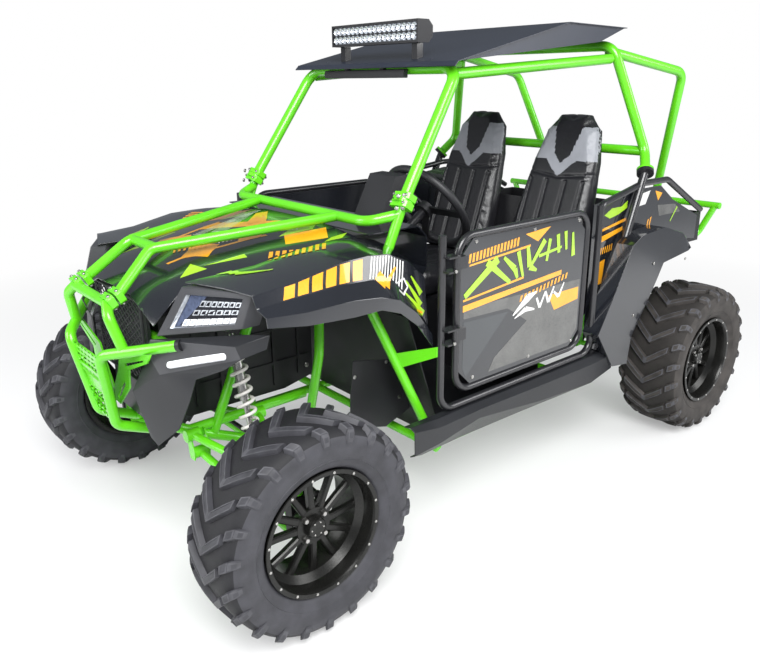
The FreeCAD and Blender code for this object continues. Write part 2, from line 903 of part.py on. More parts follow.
def rear_frame():
    """The rear rails, the engine bay with its uprights, and the drawbar tongue."""
    r = frame_tube_radius
    thin = r - weld_step
    tail_bar_x = frame_back_x + r
    bay_bar_x = bay_x + r
    tubes = [crosswise(x, rail_y, rail_z, thin) for x in (
        tail_bar_x, engine_x - engine_length / 3, engine_x + engine_length / 3,
    )]
    tubes += [crosswise(x, rear_rail_y, rear_rail_z, thin) for x in (bay_bar_x, tail_bar_x)]
    for side in (-1, 1):
        y = side * rail_y
        high_y = side * rear_rail_y
        tubes.append(lengthwise(y, rail_z, frame_back_x, frame_joint_back_x, r))
        tubes.append(lengthwise(y, rail_high_z, frame_back_x, rear_tower_x, r))
        tubes.append(lengthwise(high_y, rear_rail_z, frame_back_x, bay_x, r))
        for x in (rear_tower_x, tail_bar_x):
            tubes.append(rod(V(x, y, rail_z), V(x, y, rail_high_z), strut_radius))
        for x in (bay_bar_x, rear_tower_x, tail_bar_x):
            tubes.append(rod(V(x, y, rail_z), V(x, high_y, rear_rail_z), thin))
    tongue = block(
        tail_bar_x - hitch_reach, tail_bar_x, -hitch_half_width, hitch_half_width, rail_z - hitch_thickness / 2,
        rail_z + hitch_thickness / 2,
    )
    hole = Part.makeCylinder(
        hitch_hole_radius, 2 * hitch_thickness,
        V(tail_bar_x - hitch_reach + hitch_hole_inset, 0, rail_z - hitch_thickness),
    )
    return joined(tubes + [tongue]).cut(hole)


def cowl_leg(side, grown):
    """The tube from the sill up past the front wheel to the windshield clamp."""
    clamp = V(clamp_x, side * clamp_y, clamp_z)
    knee = cowl_knee(side)
    reach = unit(clamp - knee)
    return tube(
        [V(sill_front_x, side * cowl_foot_y, rail_z), knee, clamp - reach * clamp_plate],
        frame_tube_radius - weld_step / 2 + grown, cage_bend,
    )


def clamp_half(line, side):
    """The lower half of a cage clamp, square to the cage tube that it carries."""
    run = unit(line[1] - line[0])
    plate = rod(line[0] - run * clamp_plate * 1.5, line[0], clamp_plate_radius)
    return plate if side > 0 else mirrored(plate)


def side_frame_tubes(grown):
    """The black tubes round the left door, the leg up to the cage and the rail along the rear body."""
    r = side_tube_radius + grown
    y = door_y
    clamp = V(rear_clamp_x, rear_clamp_y, rear_clamp_z)
    foot = V(leg_foot_x, leg_foot_y, leg_foot_z - side_tube_radius)
    surround = tube(
        [
            V(surround_front_x, y, surround_top_z), V(surround_front_x, y, surround_low_z),
            V(surround_back_x, y, surround_low_z), V(surround_back_x, y, surround_top_z),
        ], r, side_bend,
    )
    rail = tube(
        [
            V(surround_back_x, y, surround_top_z - side_bend), V(surround_back_x, y, surround_top_z),
            V(rear_clamp_x, rear_clamp_y - side_tube_radius / 2, rail_tail_z), V(rail_tail_x, side_y, rail_tail_z),
            V(rail_end_x, side_y, rail_end_z),
        ], r + weld_step / 4, side_bend,
    )
    leg = rod(foot, clamp - unit(clamp - foot) * clamp_plate, leg_tube_radius + grown)
    drop = rod(foot, V(leg_foot_x, sill_tube_y, rail_z), r)
    return [surround, rail, leg, drop]


def hinge_brackets():
    """The fixed halves of the door's hinges: two ears and a pin at each."""
    pieces = []
    for z in (hinge_low_z, hinge_high_z):
        for ear_z in (z - hinge_ear - hinge_gap, z + hinge_barrel_length + hinge_gap):
            pieces.append(block(
                hinge_x - hinge_barrel_radius, surround_front_x + side_tube_radius / 2, door_y,
                door_y + hinge_out + hinge_barrel_radius, ear_z, ear_z + hinge_ear,
            ))
        pieces.append(Part.makeCylinder(
            hinge_pin_radius, hinge_barrel_length + 2 * hinge_gap + 2 * hinge_ear,
            V(hinge_x, door_y + hinge_out, z - hinge_ear - hinge_gap),
        ))
    return pieces


def side_frame():
    tubes = side_frame_tubes(0) + [clamp_half(rear_hoop_line(), 1)] + hinge_brackets()
    return longest(joined(tubes).cut(main_frame_near_side()))


def main_frame_near_side():
    """The lower frame's tubes near the side frame, grown by the seating gap."""
    r = frame_tube_radius + seat_gap
    sill = rod(V(sill_back_x, sill_tube_y, rail_z), V(sill_front_x, sill_tube_y, rail_z), r)
    return sill.fuse(cowl_leg(1, seat_gap + weld_step / 2))


# Roll cage

def windshield_line():
    return [
        V(clamp_x, clamp_y, clamp_z), V(pillar_top_x, pillar_top_y, pillar_top_z),
        V(pillar_top_x, -pillar_top_y, pillar_top_z), V(clamp_x, -clamp_y, clamp_z),
    ]


def rear_hoop_line():
    return [
        V(rear_clamp_x, rear_clamp_y, rear_clamp_z), V(rear_bend_x, rear_bend_y, rear_bend_z),
        V(rear_top_x, rear_top_y, rear_top_z), V(rear_top_x, -rear_top_y, rear_top_z),
        V(rear_bend_x, -rear_bend_y, rear_bend_z), V(rear_clamp_x, -rear_clamp_y, rear_clamp_z),
    ]


def hoop(line, radius, bend):
    """A hoop with a bolted plate at each foot."""
    run = unit(line[1] - line[0])
    foot = line[0] + run * seat_gap
    line = [foot] + line[1:-1] + [V(foot.x, -foot.y, foot.z)]
    plate = rod(foot, foot + run * clamp_plate, clamp_plate_radius)
    return joined([tube(line, radius, bend), plate, mirrored(plate)])


def cage():
    front = hoop(windshield_line(), cage_tube_radius, cage_bend)
    cross = rod(V(rear_bend_x, -rear_bend_y, rear_bend_z), V(rear_bend_x, rear_bend_y, rear_bend_z), cage_tube_radius - seat_gap)
    rear = joined([hoop(rear_hoop_line(), cage_tube_radius, cage_bend), cross])
    export(front, "windshield_hoop")
    export(rear, "rear_hoop")
    front_cut = tube(windshield_line(), cage_tube_radius + seat_gap, cage_bend)
    rear_cut = tube(rear_hoop_line(), cage_tube_radius + seat_gap, cage_bend)
    drop = V(0, cage_tube_radius, cage_tube_radius)
    rail = rod(
        V(pillar_top_x, pillar_top_y, pillar_top_z) - drop, V(rail_back_x, rear_top_y, rail_back_z),
        cage_tube_radius - hinge_gap,
    )
    rail = rail.cut(front_cut).cut(rear_cut)
    export(both(longest(rail)), "roof_rails")
    brace = tube(
        [
            V(rear_top_x, rear_top_y - cage_tube_radius, rear_top_z - cage_tube_radius),
            V(brace_bend_x, brace_bend_y, brace_bend_z),
            V(tail_x + brace_foot_lead, brace_foot_y, tail_bar_z + tail_tube_radius - weld_step),
        ], cage_tube_radius - hinge_gap, cage_bend,
    )
    bar = rod(V(tail_x, -tail_bar_y, tail_bar_z), V(tail_x, tail_bar_y, tail_bar_z), tail_tube_radius + seat_gap)
    brace = brace.cut(rear_cut).cut(bar)
    export(both(longest(brace)), "rear_braces")


def longest(shape):
    """The largest solid of a trimmed piece."""
    return max(shape.Solids, key=lambda solid: solid.Volume)


def hood_hoop():
    """The bar under the windshield and the narrow hoop that runs forward over the hood."""
    r = hoop_tube_radius
    clamp = V(clamp_x, clamp_y, clamp_z)
    knee = V(cowl_leg_knee_x, cowl_leg_knee_y, cowl_leg_knee_z)
    end = clamp + (knee - clamp) * cowl_bar_share
    bar = tube(
        [
            end, V(cowl_bar_x, cowl_bar_y, cowl_bar_z), V(cowl_bar_x, -cowl_bar_y, cowl_bar_z),
            V(end.x, -end.y, end.z),
        ], r, cage_bend,
    )
    arms = []
    for side in (-1, 1):
        arms.append(tube(
            [
                V(cowl_bar_x, side * hoop_root_y, cowl_bar_z), V(hoop_front_x, side * hoop_front_y, hoop_front_z),
                V(guard_clamp_x, side * guard_clamp_y, guard_clamp_z),
            ], r - seat_gap, guard_bend,
        ))
    front = rod(V(hoop_front_x - r, -hoop_front_y, hoop_front_z), V(hoop_front_x - r, hoop_front_y, hoop_front_z), r - seat_gap * 2)
    whole = joined([bar, front] + arms)
    for side in (-1, 1):
        whole = whole.cut(cowl_leg(side, seat_gap + weld_step / 2))
    return longest(whole)


def guard_bar_line(side):
    return [
        V(guard_foot_x, side * guard_low_y, guard_foot_z), V(guard_low_x, side * guard_low_y, guard_low_z),
        V(guard_front_x, side * guard_corner_y, guard_bar_z), V(guard_side_x, side * guard_side_y, guard_side_z),
    ]


def front_guard():
    """The bumper: a bent bar each side, an upper tube each side, and the bar between the clamps."""
    r = guard_tube_radius
    tubes = []
    for side in (-1, 1):
        tubes.append(tube(guard_bar_line(side), r, guard_bend))
        tubes.append(tube(
            [
                V(guard_clamp_x + r * 2, side * guard_clamp_y, guard_clamp_z - r),
                V(guard_knee_x, side * guard_knee_y, guard_knee_z),
                V(guard_land_x, side * guard_land_y, guard_land_z),
            ], r - seat_gap, guard_bend,
        ))
    top = rod(
        V(guard_clamp_x + r * 2, -guard_clamp_y, guard_clamp_z - r), V(guard_clamp_x + r * 2, guard_clamp_y, guard_clamp_z - r),
        r - seat_gap,
    )
    foot = rod(V(guard_foot_x, -guard_low_y, guard_foot_z), V(guard_foot_x, guard_low_y, guard_foot_z), r)
    return joined(tubes + [top, foot])


# Roof, light bar and mirror

def roof():
    """A folded sheet roof with a side flange down each edge."""
    line = [
        (roof_front_x, roof_front_z - roof_lip), (roof_front_x - roof_lip, roof_front_z),
        (roof_fold_x, roof_fold_z), (roof_back_x, roof_back_z),
    ]
    sheet = bent_sheet(line, -roof_wall, roof_half_width)
    inner = roof_half_width - roof_flange_inset
    outline = [
        (roof_front_x - roof_lip * 2, roof_front_z), (roof_fold_x, roof_fold_z), (roof_back_x, roof_back_z),
        (rail_back_x + roof_flange_drop * 2, rail_back_z + roof_flange_drop),
    ]
    flange = side_plate(outline, inner, roof_wall)
    pads = []
    for y in (-roof_pad_y, roof_pad_y):
        for x, low_z, high_z in (
            (pillar_top_x, pillar_top_z, roof_height(pillar_top_x)), (rear_top_x, rear_top_z, roof_back_z),
        ):
            pads.append(rod(V(x, y, low_z), V(x, y, high_z - roof_wall / 2), roof_pad_radius))
    front_cut = tube(windshield_line(), cage_tube_radius + seat_gap, cage_bend)
    rear_cut = tube(rear_hoop_line(), cage_tube_radius + seat_gap, cage_bend)
    return joined([sheet, flange, mirrored(flange)] + pads).cut(front_cut).cut(rear_cut)


def light_bar():
    """The finned lamp housing on two brackets."""
    x1 = lamp_bar_x + lamp_bar_depth / 2
    housing = block(
        x1 - lamp_bar_depth, x1, -lamp_bar_width / 2, lamp_bar_width / 2, lamp_bar_base_z, lamp_bar_base_z + lamp_bar_height,
    )
    return housing


def roof_height(x):
    """The roof sheet's top at a place on its front slope."""
    share = (roof_front_x - roof_lip - x) / (roof_front_x - roof_lip - roof_fold_x)
    return roof_front_z + share * (roof_fold_z - roof_front_z)


def light_brackets():
    shapes = []
    for side in (-1, 1):
        y = side * lamp_bracket_y
        half = lamp_bracket_width / 2
        foot = block(lamp_bar_x - half, lamp_bar_x + half, y - half, y + half, 0, lamp_bar_base_z - seat_gap)
        under = face_of([
            V(lamp_bar_x - lamp_bar_depth, y - half * 2, roof_height(lamp_bar_x - lamp_bar_depth) + seat_gap),
            V(lamp_bar_x + lamp_bar_depth / 2, y - half * 2, roof_height(lamp_bar_x + lamp_bar_depth / 2) + seat_gap),
            V(lamp_bar_x + lamp_bar_depth / 2, y - half * 2, lamp_bar_base_z),
            V(lamp_bar_x - lamp_bar_depth, y - half * 2, lamp_bar_base_z),
        ]).extrude(V(0, half * 4, 0))
        shapes.append(foot.common(under))
    return Part.makeCompound(shapes)


def mirror():
    x = pillar_top_x + cage_tube_radius + seat_gap
    return block(x, x + mirror_depth, -mirror_width / 2, mirror_width / 2, pillar_top_z - mirror_height, pillar_top_z)


# Body panels

hood_shares = [(-1.0, 0.62), (-0.72, 0.90), (-0.28, 1.0), (0.28, 1.0), (0.72, 0.90), (1.0, 0.62)]


def hood():
    """The hood as a crowned thin panel between the fenders."""
    stations = []
    for x, half, top in (
        (hood_back_x, hood_back_half, hood_back_z), (hood_front_x, hood_front_half, hood_front_z),
    ):
        stations.append((x, [(sy * half, top - hood_drop * (1 - sz)) for sy, sz in hood_shares]))
    return shell_loft(stations, panel_wall)




def fender():
    """A front fender: an upper skin that slopes out to a rolled lip."""
    stations = []
    for x, share in ((fender_front_x, 0.0), ((fender_front_x + fender_back_x) / 2, 0.5), (fender_back_x, 1.0)):
        inner_y = hood_front_half + (hood_back_half - hood_front_half) * (0.3 + 0.7 * share) + fender_gap
        inner_z = hood_front_z + (hood_back_z - hood_front_z) * (0.3 + 0.7 * share) - hood_drop * 0.4
        points = [
            (inner_y, inner_z), ((inner_y + fender_outer_y) / 2, inner_z - fender_lip_height),
            (fender_outer_y, fender_lip_z + fender_lip_height), (fender_outer_y, fender_lip_z),
        ]
        stations.append((x, points))
    skin = shell_loft(stations, panel_wall).cut(cowl_leg(1, weld_step))
    for piece in side_frame_tubes(seat_gap * 2):
        skin = skin.cut(piece)
    return longest(skin)


def nose():
    """The front fascia: a faceted moulding under the lamps, left open for the grille."""
    outline = [
        V(nose_x, grille_half, grille_low_z), V(nose_x, grille_half, nose_top_low_z),
        V(lamp_inner_x, lamp_inner_y, lamp_low_z - seat_gap),
        V(lamp_outer_x + lamp_lean, lamp_outer_y - lamp_lean, lamp_low_z + lamp_lean - seat_gap),
        V(nose_wing_x, nose_wing_y, nose_mid_z), V(nose_wing_low_x, nose_wing_low_y, nose_wing_low_z), V(nose_low_x, grille_half, nose_low_z),
    ]
    moulding = prism(outline, [p - V(nose_wall, 0, 0) for p in outline])
    return longest(moulding.cut(tube(guard_bar_line(1), guard_tube_radius + seat_gap, guard_bend)))


def lamp_corners(inset):
    """The corners of the headlight's slanted face, drawn in by an inset."""
    inner_low = V(lamp_inner_x, lamp_inner_y, lamp_low_z)
    inner_top = V(lamp_inner_top_x, lamp_inner_y + lamp_lean, lamp_top_z)
    outer_top = V(lamp_outer_x, lamp_outer_y, lamp_top_z)
    outer_low = V(lamp_outer_x + lamp_lean, lamp_outer_y - lamp_lean, lamp_low_z + lamp_lean)
    corners = [inner_low, inner_top, outer_top, outer_low]
    centre = (inner_low + inner_top + outer_top + outer_low) * 0.25
    return [p + unit(centre - p) * inset for p in corners]


def headlight():
    ring = lamp_corners(0)
    return prism(ring, [p - V(lamp_thickness, 0, 0) for p in ring])


def grille():
    x = nose_x - panel_wall
    return block(x - grille_thickness, x, -grille_half + seat_gap, grille_half - seat_gap, grille_low_z, grille_top_z)


# A sill moulding's section at several stations: the x share, then (y, z) shares of its box
rocker_shares = [
    (1.0, [(0.40, 1.0), (0.72, 1.04), (0.94, 0.97), (0.96, 0.45), (0.72, 0.37)]),
    (0.90, [(0.40, 1.0), (0.72, 1.0), (0.98, 0.87), (0.96, 0.50), (0.0, 0.0)]),
    (0.73, [(0.40, 1.0), (0.72, 1.0), (0.98, 0.90), (0.96, 0.70), (0.0, 0.03)]),
    (0.42, [(0.40, 1.0), (0.72, 1.0), (1.0, 0.87), (0.96, 0.46), (0.0, 0.0)]),
    (0.14, [(0.40, 1.0), (0.72, 1.0), (1.0, 0.87), (0.96, 0.35), (0.0, 0.0)]),
    (0.0, [(0.40, 1.0), (0.72, 1.0), (0.96, 0.90), (0.83, 0.47), (0.0, 0.19)]),
]


def between(low, high, share):
    return low + share * (high - low)


def placed_stations(x_ends, y_ends, z_ends, stations):
    """Sections given as shares of a box, turned into stations for a lofted panel."""
    placed = []
    for share, points in stations:
        line = [(between(*y_ends, sy), between(*z_ends, sz)) for sy, sz in points]
        placed.append((between(*x_ends, share), line))
    return placed


def rocker():
    """The moulded sill below the door, flanged under the door surround."""
    stations = placed_stations(
        (rocker_back_x, rocker_front_x), (rocker_inner_y, rocker_y), (rocker_low_z, rocker_top_z), rocker_shares,
    )
    drop = side_frame_tubes(seat_gap)[-1]
    return longest(shell_loft(stations, panel_wall).cut(drop))


side_panel_shares = [
    (1.0, 0.0), (1.0, 0.93), (0.62, 0.98), (0.42, 0.98), (0.28, 0.86), (0.0, 0.70), (0.0, 0.52), (0.27, 0.57),
    (0.34, 0.655), (0.58, 0.68), (0.72, 0.58),
]


def side_panel():
    outline = shared_outline(side_front_x, side_back_x, side_low_z, side_top_z, side_panel_shares)
    return side_plate(outline, side_face_y, panel_wall)


rear_fender_shares = [
    (1.0, 0.0), (0.60, 0.86), (0.42, 1.0), (0.10, 0.96), (0.0, 0.84), (0.03, 0.69), (0.37, 0.62), (0.43, 0.44), (0.76, 0.06),
]


def rear_fender():
    outline = shared_outline(
        rear_fender_front_x, rear_fender_back_x, rear_fender_low_z, rear_fender_top_z, rear_fender_shares,
    )
    shape = side_plate(outline, rear_fender_y, rear_fender_y - side_face_y - seat_gap)
    for piece in side_frame_tubes(seat_gap * 2):
        shape = shape.cut(piece)
    return longest(shape)


def tub():
    """The cabin's floor, toe board, seat box and rear wall in one folded sheet."""
    line = [
        (toe_top_x, toe_top_z), (toe_low_x, floor_z), (seat_step_x, floor_z), (seat_step_x, seat_shelf_z),
        (seat_shelf_back_x, seat_shelf_z), (bulkhead_top_x, bulkhead_top_z),
    ]
    return bent_sheet(line, tub_wall, tub_half)


def cargo_bed():
    """An open box with a floor and four walls."""
    outer = block(bed_back_x, bed_front_x, -bed_half, bed_half, bed_low_z, bed_top_z)
    inner = block(bed_back_x + bed_wall, bed_front_x - bed_wall, -bed_half + bed_wall, bed_half - bed_wall, bed_floor_z, bed_top_z + overrun)
    under = block(bed_back_x + bed_wall, bed_front_x - bed_wall, -bed_half + bed_wall, bed_half - bed_wall, bed_low_z - overrun, bed_floor_z - bed_wall)
    return outer.cut(inner).cut(under)


def tail_bar():
    """The bar across the tail and the leg at each end."""
    bar = rod(V(tail_x, -tail_bar_y, tail_bar_z), V(tail_x, tail_bar_y, tail_bar_z), tail_tube_radius)
    legs = []
    for side in (-1, 1):
        y = side * (tail_bar_y - tail_leg_inset / 2)
        foot_y = side * (tail_bar_y - tail_leg_inset * 2)
        legs.append(tube(
            [
                V(tail_x, y, tail_bar_z), V(tail_x, foot_y, tail_leg_z + tail_tube_radius),
                V(bed_back_x - seat_gap, foot_y, tail_leg_z + tail_tube_radius),
            ], tail_tube_radius - hinge_gap, tail_bend,
        ))
    return joined([bar] + legs)


# Doors

def door_line():
    y = door_y
    middle_x = (door_front_x + door_back_x) / 2
    return [
        V(middle_x, y, door_low_z), V(door_front_x, y, door_low_z), V(door_front_x, y, door_top_z),
        V(door_back_x, y, door_top_z), V(door_back_x, y, door_low_z), V(middle_x, y, door_low_z),
    ]


def door_frame():
    """The door's closed tube hoop with its hinge eyes."""
    line = door_line()
    first = tube(line[:3] + [(line[2] + line[3]) * 0.5], door_tube_radius, door_corner)
    second = tube([(line[2] + line[3]) * 0.5] + line[3:], door_tube_radius, door_corner)
    eyes = []
    for z in (hinge_low_z, hinge_high_z):
        eye = Part.makeCylinder(hinge_barrel_radius, hinge_barrel_length, V(hinge_x, door_y + hinge_out, z))
        leaf = block(
            door_front_x, hinge_x, door_y + hinge_out - hinge_barrel_radius / 2, door_y + hinge_out + hinge_barrel_radius / 2,
            z, z + hinge_barrel_length,
        )
        pad = block(
            door_front_x - door_tube_radius, door_front_x + door_tube_radius / 2, door_y, door_y + hinge_out + hinge_barrel_radius / 2,
            z, z + hinge_barrel_length,
        )
        eyes += [eye, leaf, pad]
    frame = joined([first, second] + eyes)
    pin = Part.makeCylinder(
        hinge_pin_radius + hinge_gap, hinge_high_z, V(hinge_x, door_y + hinge_out, hinge_low_z - overrun),
    )
    return frame.cut(pin)


def door_panel():
    r = door_tube_radius
    outline = [
        (door_front_x - r - seat_gap, door_low_z + door_corner), (door_front_x - r - seat_gap, door_top_z - door_corner),
        (door_front_x - door_corner, door_top_z - r - seat_gap), (door_back_x + door_corner, door_top_z - r - seat_gap),
        (door_back_x + r + seat_gap, door_top_z - door_corner), (door_back_x + r + seat_gap, door_low_z + door_corner),
        (door_back_x + door_corner, door_low_z + r + seat_gap), (door_front_x - door_corner, door_low_z + r + seat_gap),
    ]
    return side_plate(outline, door_y + door_panel_thickness / 2, door_panel_thickness)


# Seats, dash and engine

def seat_cushion():
    half = seat_width / 2
    return block(
        cushion_back_x, cushion_front_x, seat_centre_y - half, seat_centre_y + half, cushion_base_z + seat_gap,
        cushion_base_z + cushion_height,
    )


def seat_back():
    """A bucket back that narrows towards the head."""
    low = cushion_base_z + cushion_height + seat_gap
    half = seat_width / 2
    foot = [V(back_foot_x, -half, low), V(back_foot_x, half, low), V(back_foot_x - back_thickness, half, low), V(back_foot_x - back_thickness, -half, low)]
    top_half = half * 0.55
    top = [V(back_top_x, -top_half, back_top_z), V(back_top_x, top_half, back_top_z), V(back_top_x - back_thickness / 2, top_half, back_top_z), V(back_top_x - back_thickness / 2, -top_half, back_top_z)]
    shape = Part.makeLoft([Part.makePolygon(foot + [foot[0]]), Part.makePolygon(top + [top[0]])], True, True)
    shape.translate(V(0, seat_centre_y, 0))
    return shape


def dashboard():
    """The dash as a folded panel between the cowl legs."""
    line = [
        (dash_front_x, dash_top_z), (dash_back_x + dash_step, dash_top_z), (dash_back_x, dash_top_z - dash_step),
        (dash_back_x, dash_low_z + dash_rise), (dash_back_x + dash_step * 2, dash_low_z),
    ]
    panel = bent_sheet(line, -panel_wall, dash_half)
    for side in (-1, 1):
        panel = panel.cut(cowl_leg(side, seat_gap + weld_step / 2))
    return longest(panel)


def engine():
    return block(
        engine_x - engine_length / 2, engine_x + engine_length / 2, -engine_width / 2, engine_width / 2, engine_base_z,
        engine_base_z + engine_height,
    )


def drive_case():
    return rod(V(rear_x, -drive_case_width / 2, axle_z), V(rear_x, drive_case_width / 2, axle_z), drive_case_radius)


def main():
    os.makedirs("parts", exist_ok=True)
    wheels()
    suspension()
    export(steering_rack(), "steering_rack")
    cage()
    left = knuckle()
    export(left, "knuckle_left")
    export(mirrored(left), "knuckle_right")
    export(steering_wheel(), "steering_wheel")
    export(steering_column(), "steering_column")
    export(front_frame(), "front_frame")
    export(floor_frame(), "floor_frame")
    export(rear_frame(), "rear_frame")
    export(both(side_frame()), "side_frames")
    export(hood_hoop(), "hood_hoop")
    export(front_guard(), "front_guard")
    export(roof(), "roof")
    export(light_bar(), "light_bar")
    export(light_brackets(), "light_bar_brackets")
    export(mirror(), "cabin_mirror")
    export(hood(), "hood")
    export(both(fender()), "front_fenders")
    export(both(nose()), "front_fascia")
    export(both(headlight()), "headlights")
    export(grille(), "front_grille")
    export(both(rocker()), "rocker_panels")
    export(both(side_panel()), "rear_side_panels")
    export(both(rear_fender()), "rear_fenders")
    export(tub(), "cabin_tub")
    export(cargo_bed(), "cargo_bed")
    export(tail_bar(), "tail_bar")
    frame = door_frame()
    panel = door_panel()
    for name, turn in (("left", lambda s: s), ("right", mirrored)):
        export(turn(frame), "door_frame_" + name)
        export(turn(panel), "door_panel_" + name)
    export(both(seat_cushion()), "seat_cushions")
    export(both(seat_back()), "seat_backs")
    export(dashboard(), "dashboard")
    export(engine(), "engine")
    export(drive_case(), "drive_case")


main()
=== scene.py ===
"""Looks for the side by side UTV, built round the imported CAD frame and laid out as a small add-on."""

import json
import math

import bmesh
import bpy
from mathutils import Matrix, Vector
from mathutils.bvhtree import BVHTree


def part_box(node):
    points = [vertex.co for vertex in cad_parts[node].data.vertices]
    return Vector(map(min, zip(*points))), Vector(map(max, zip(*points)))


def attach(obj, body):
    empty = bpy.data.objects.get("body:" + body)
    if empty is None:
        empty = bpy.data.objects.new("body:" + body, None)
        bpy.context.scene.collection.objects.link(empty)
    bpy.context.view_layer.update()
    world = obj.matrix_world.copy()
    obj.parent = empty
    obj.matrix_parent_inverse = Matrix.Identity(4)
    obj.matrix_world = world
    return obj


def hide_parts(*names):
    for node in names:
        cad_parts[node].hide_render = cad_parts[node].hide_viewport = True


bl_info = {
    "name": "Side by side UTV",
    "version": (1, 0, 0),
    "blender": (4, 5, 0),
    "location": "View3D > Sidebar > UTV",
    "description": "Dresses the packed side by side UTV with finishes, details, lights and a camera",
    "category": "Object",
}

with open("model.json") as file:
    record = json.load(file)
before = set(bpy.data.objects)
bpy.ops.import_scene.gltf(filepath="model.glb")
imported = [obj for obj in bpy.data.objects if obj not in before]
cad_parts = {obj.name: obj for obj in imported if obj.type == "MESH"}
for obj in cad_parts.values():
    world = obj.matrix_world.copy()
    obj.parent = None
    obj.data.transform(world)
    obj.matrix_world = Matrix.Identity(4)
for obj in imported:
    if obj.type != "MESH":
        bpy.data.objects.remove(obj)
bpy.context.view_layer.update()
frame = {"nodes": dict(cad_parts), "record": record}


# Materials

def lighter(colour, factor):
    """The colour with each channel scaled."""
    return tuple(min(1.0, channel * factor) for channel in colour[:3]) + (1.0,)


def noise_output(tree, place, size, detail):
    """A noise pattern whose features are about size metres across."""
    pattern = tree.nodes.new("ShaderNodeTexNoise")
    pattern.inputs["Scale"].default_value = 1.0 / size
    pattern.inputs["Detail"].default_value = detail
    tree.links.new(place, pattern.inputs["Vector"])
    return pattern.outputs["Fac"]


def ranged(tree, value, low, high, start=0.35, end=0.65):
    """The value mapped from start..end to low..high."""
    node = tree.nodes.new("ShaderNodeMapRange")
    for socket, number in (("From Min", start), ("From Max", end), ("To Min", low), ("To Max", high)):
        node.inputs[socket].default_value = number
    tree.links.new(value, node.inputs["Value"])
    return node.outputs["Result"]


def mixed(tree, factor, first, second):
    """Two colours mixed by a factor; each is a colour or a socket."""
    node = tree.nodes.new("ShaderNodeMix")
    node.data_type = "RGBA"
    tree.links.new(factor, node.inputs[0])
    for socket, colour in ((node.inputs[6], first), (node.inputs[7], second)):
        if isinstance(colour, bpy.types.NodeSocket):
            tree.links.new(colour, socket)
        else:
            socket.default_value = colour
    return node.outputs[2]


def bumped(tree, shader, height, distance, strength=1.0):
    """Height as bump on the shader."""
    bump = tree.nodes.new("ShaderNodeBump")
    bump.inputs["Distance"].default_value = distance
    bump.inputs["Strength"].default_value = strength
    tree.links.new(height, bump.inputs["Height"])
    tree.links.new(bump.outputs["Normal"], shader.inputs["Normal"])


def finish(name, colour, patch, grain, roughness, bump, tone=0.75, spread=0.06, **sockets):
    """A procedural finish: soft patches of a second tone, and a fine grain in roughness and bump."""
    material = bpy.data.materials.new(name)
    material.use_nodes = True
    tree = material.node_tree
    shader = tree.nodes["Principled BSDF"]
    place = tree.nodes.new("ShaderNodeTexCoord").outputs["Object"]
    patches = noise_output(tree, place, patch, 4.0)
    fine = noise_output(tree, place, grain, 3.0)
    colour = tuple(colour) + (1.0,)
    tree.links.new(
        mixed(tree, ranged(tree, patches, 0.0, 1.0), colour, lighter(colour, tone)), shader.inputs["Base Color"]
    )
    tree.links.new(ranged(tree, fine, roughness - spread, roughness + spread), shader.inputs["Roughness"])
    bumped(tree, shader, fine, bump)
    for socket, value in sockets.items():
        shader.inputs[socket.replace("_", " ")].default_value = value
    return material


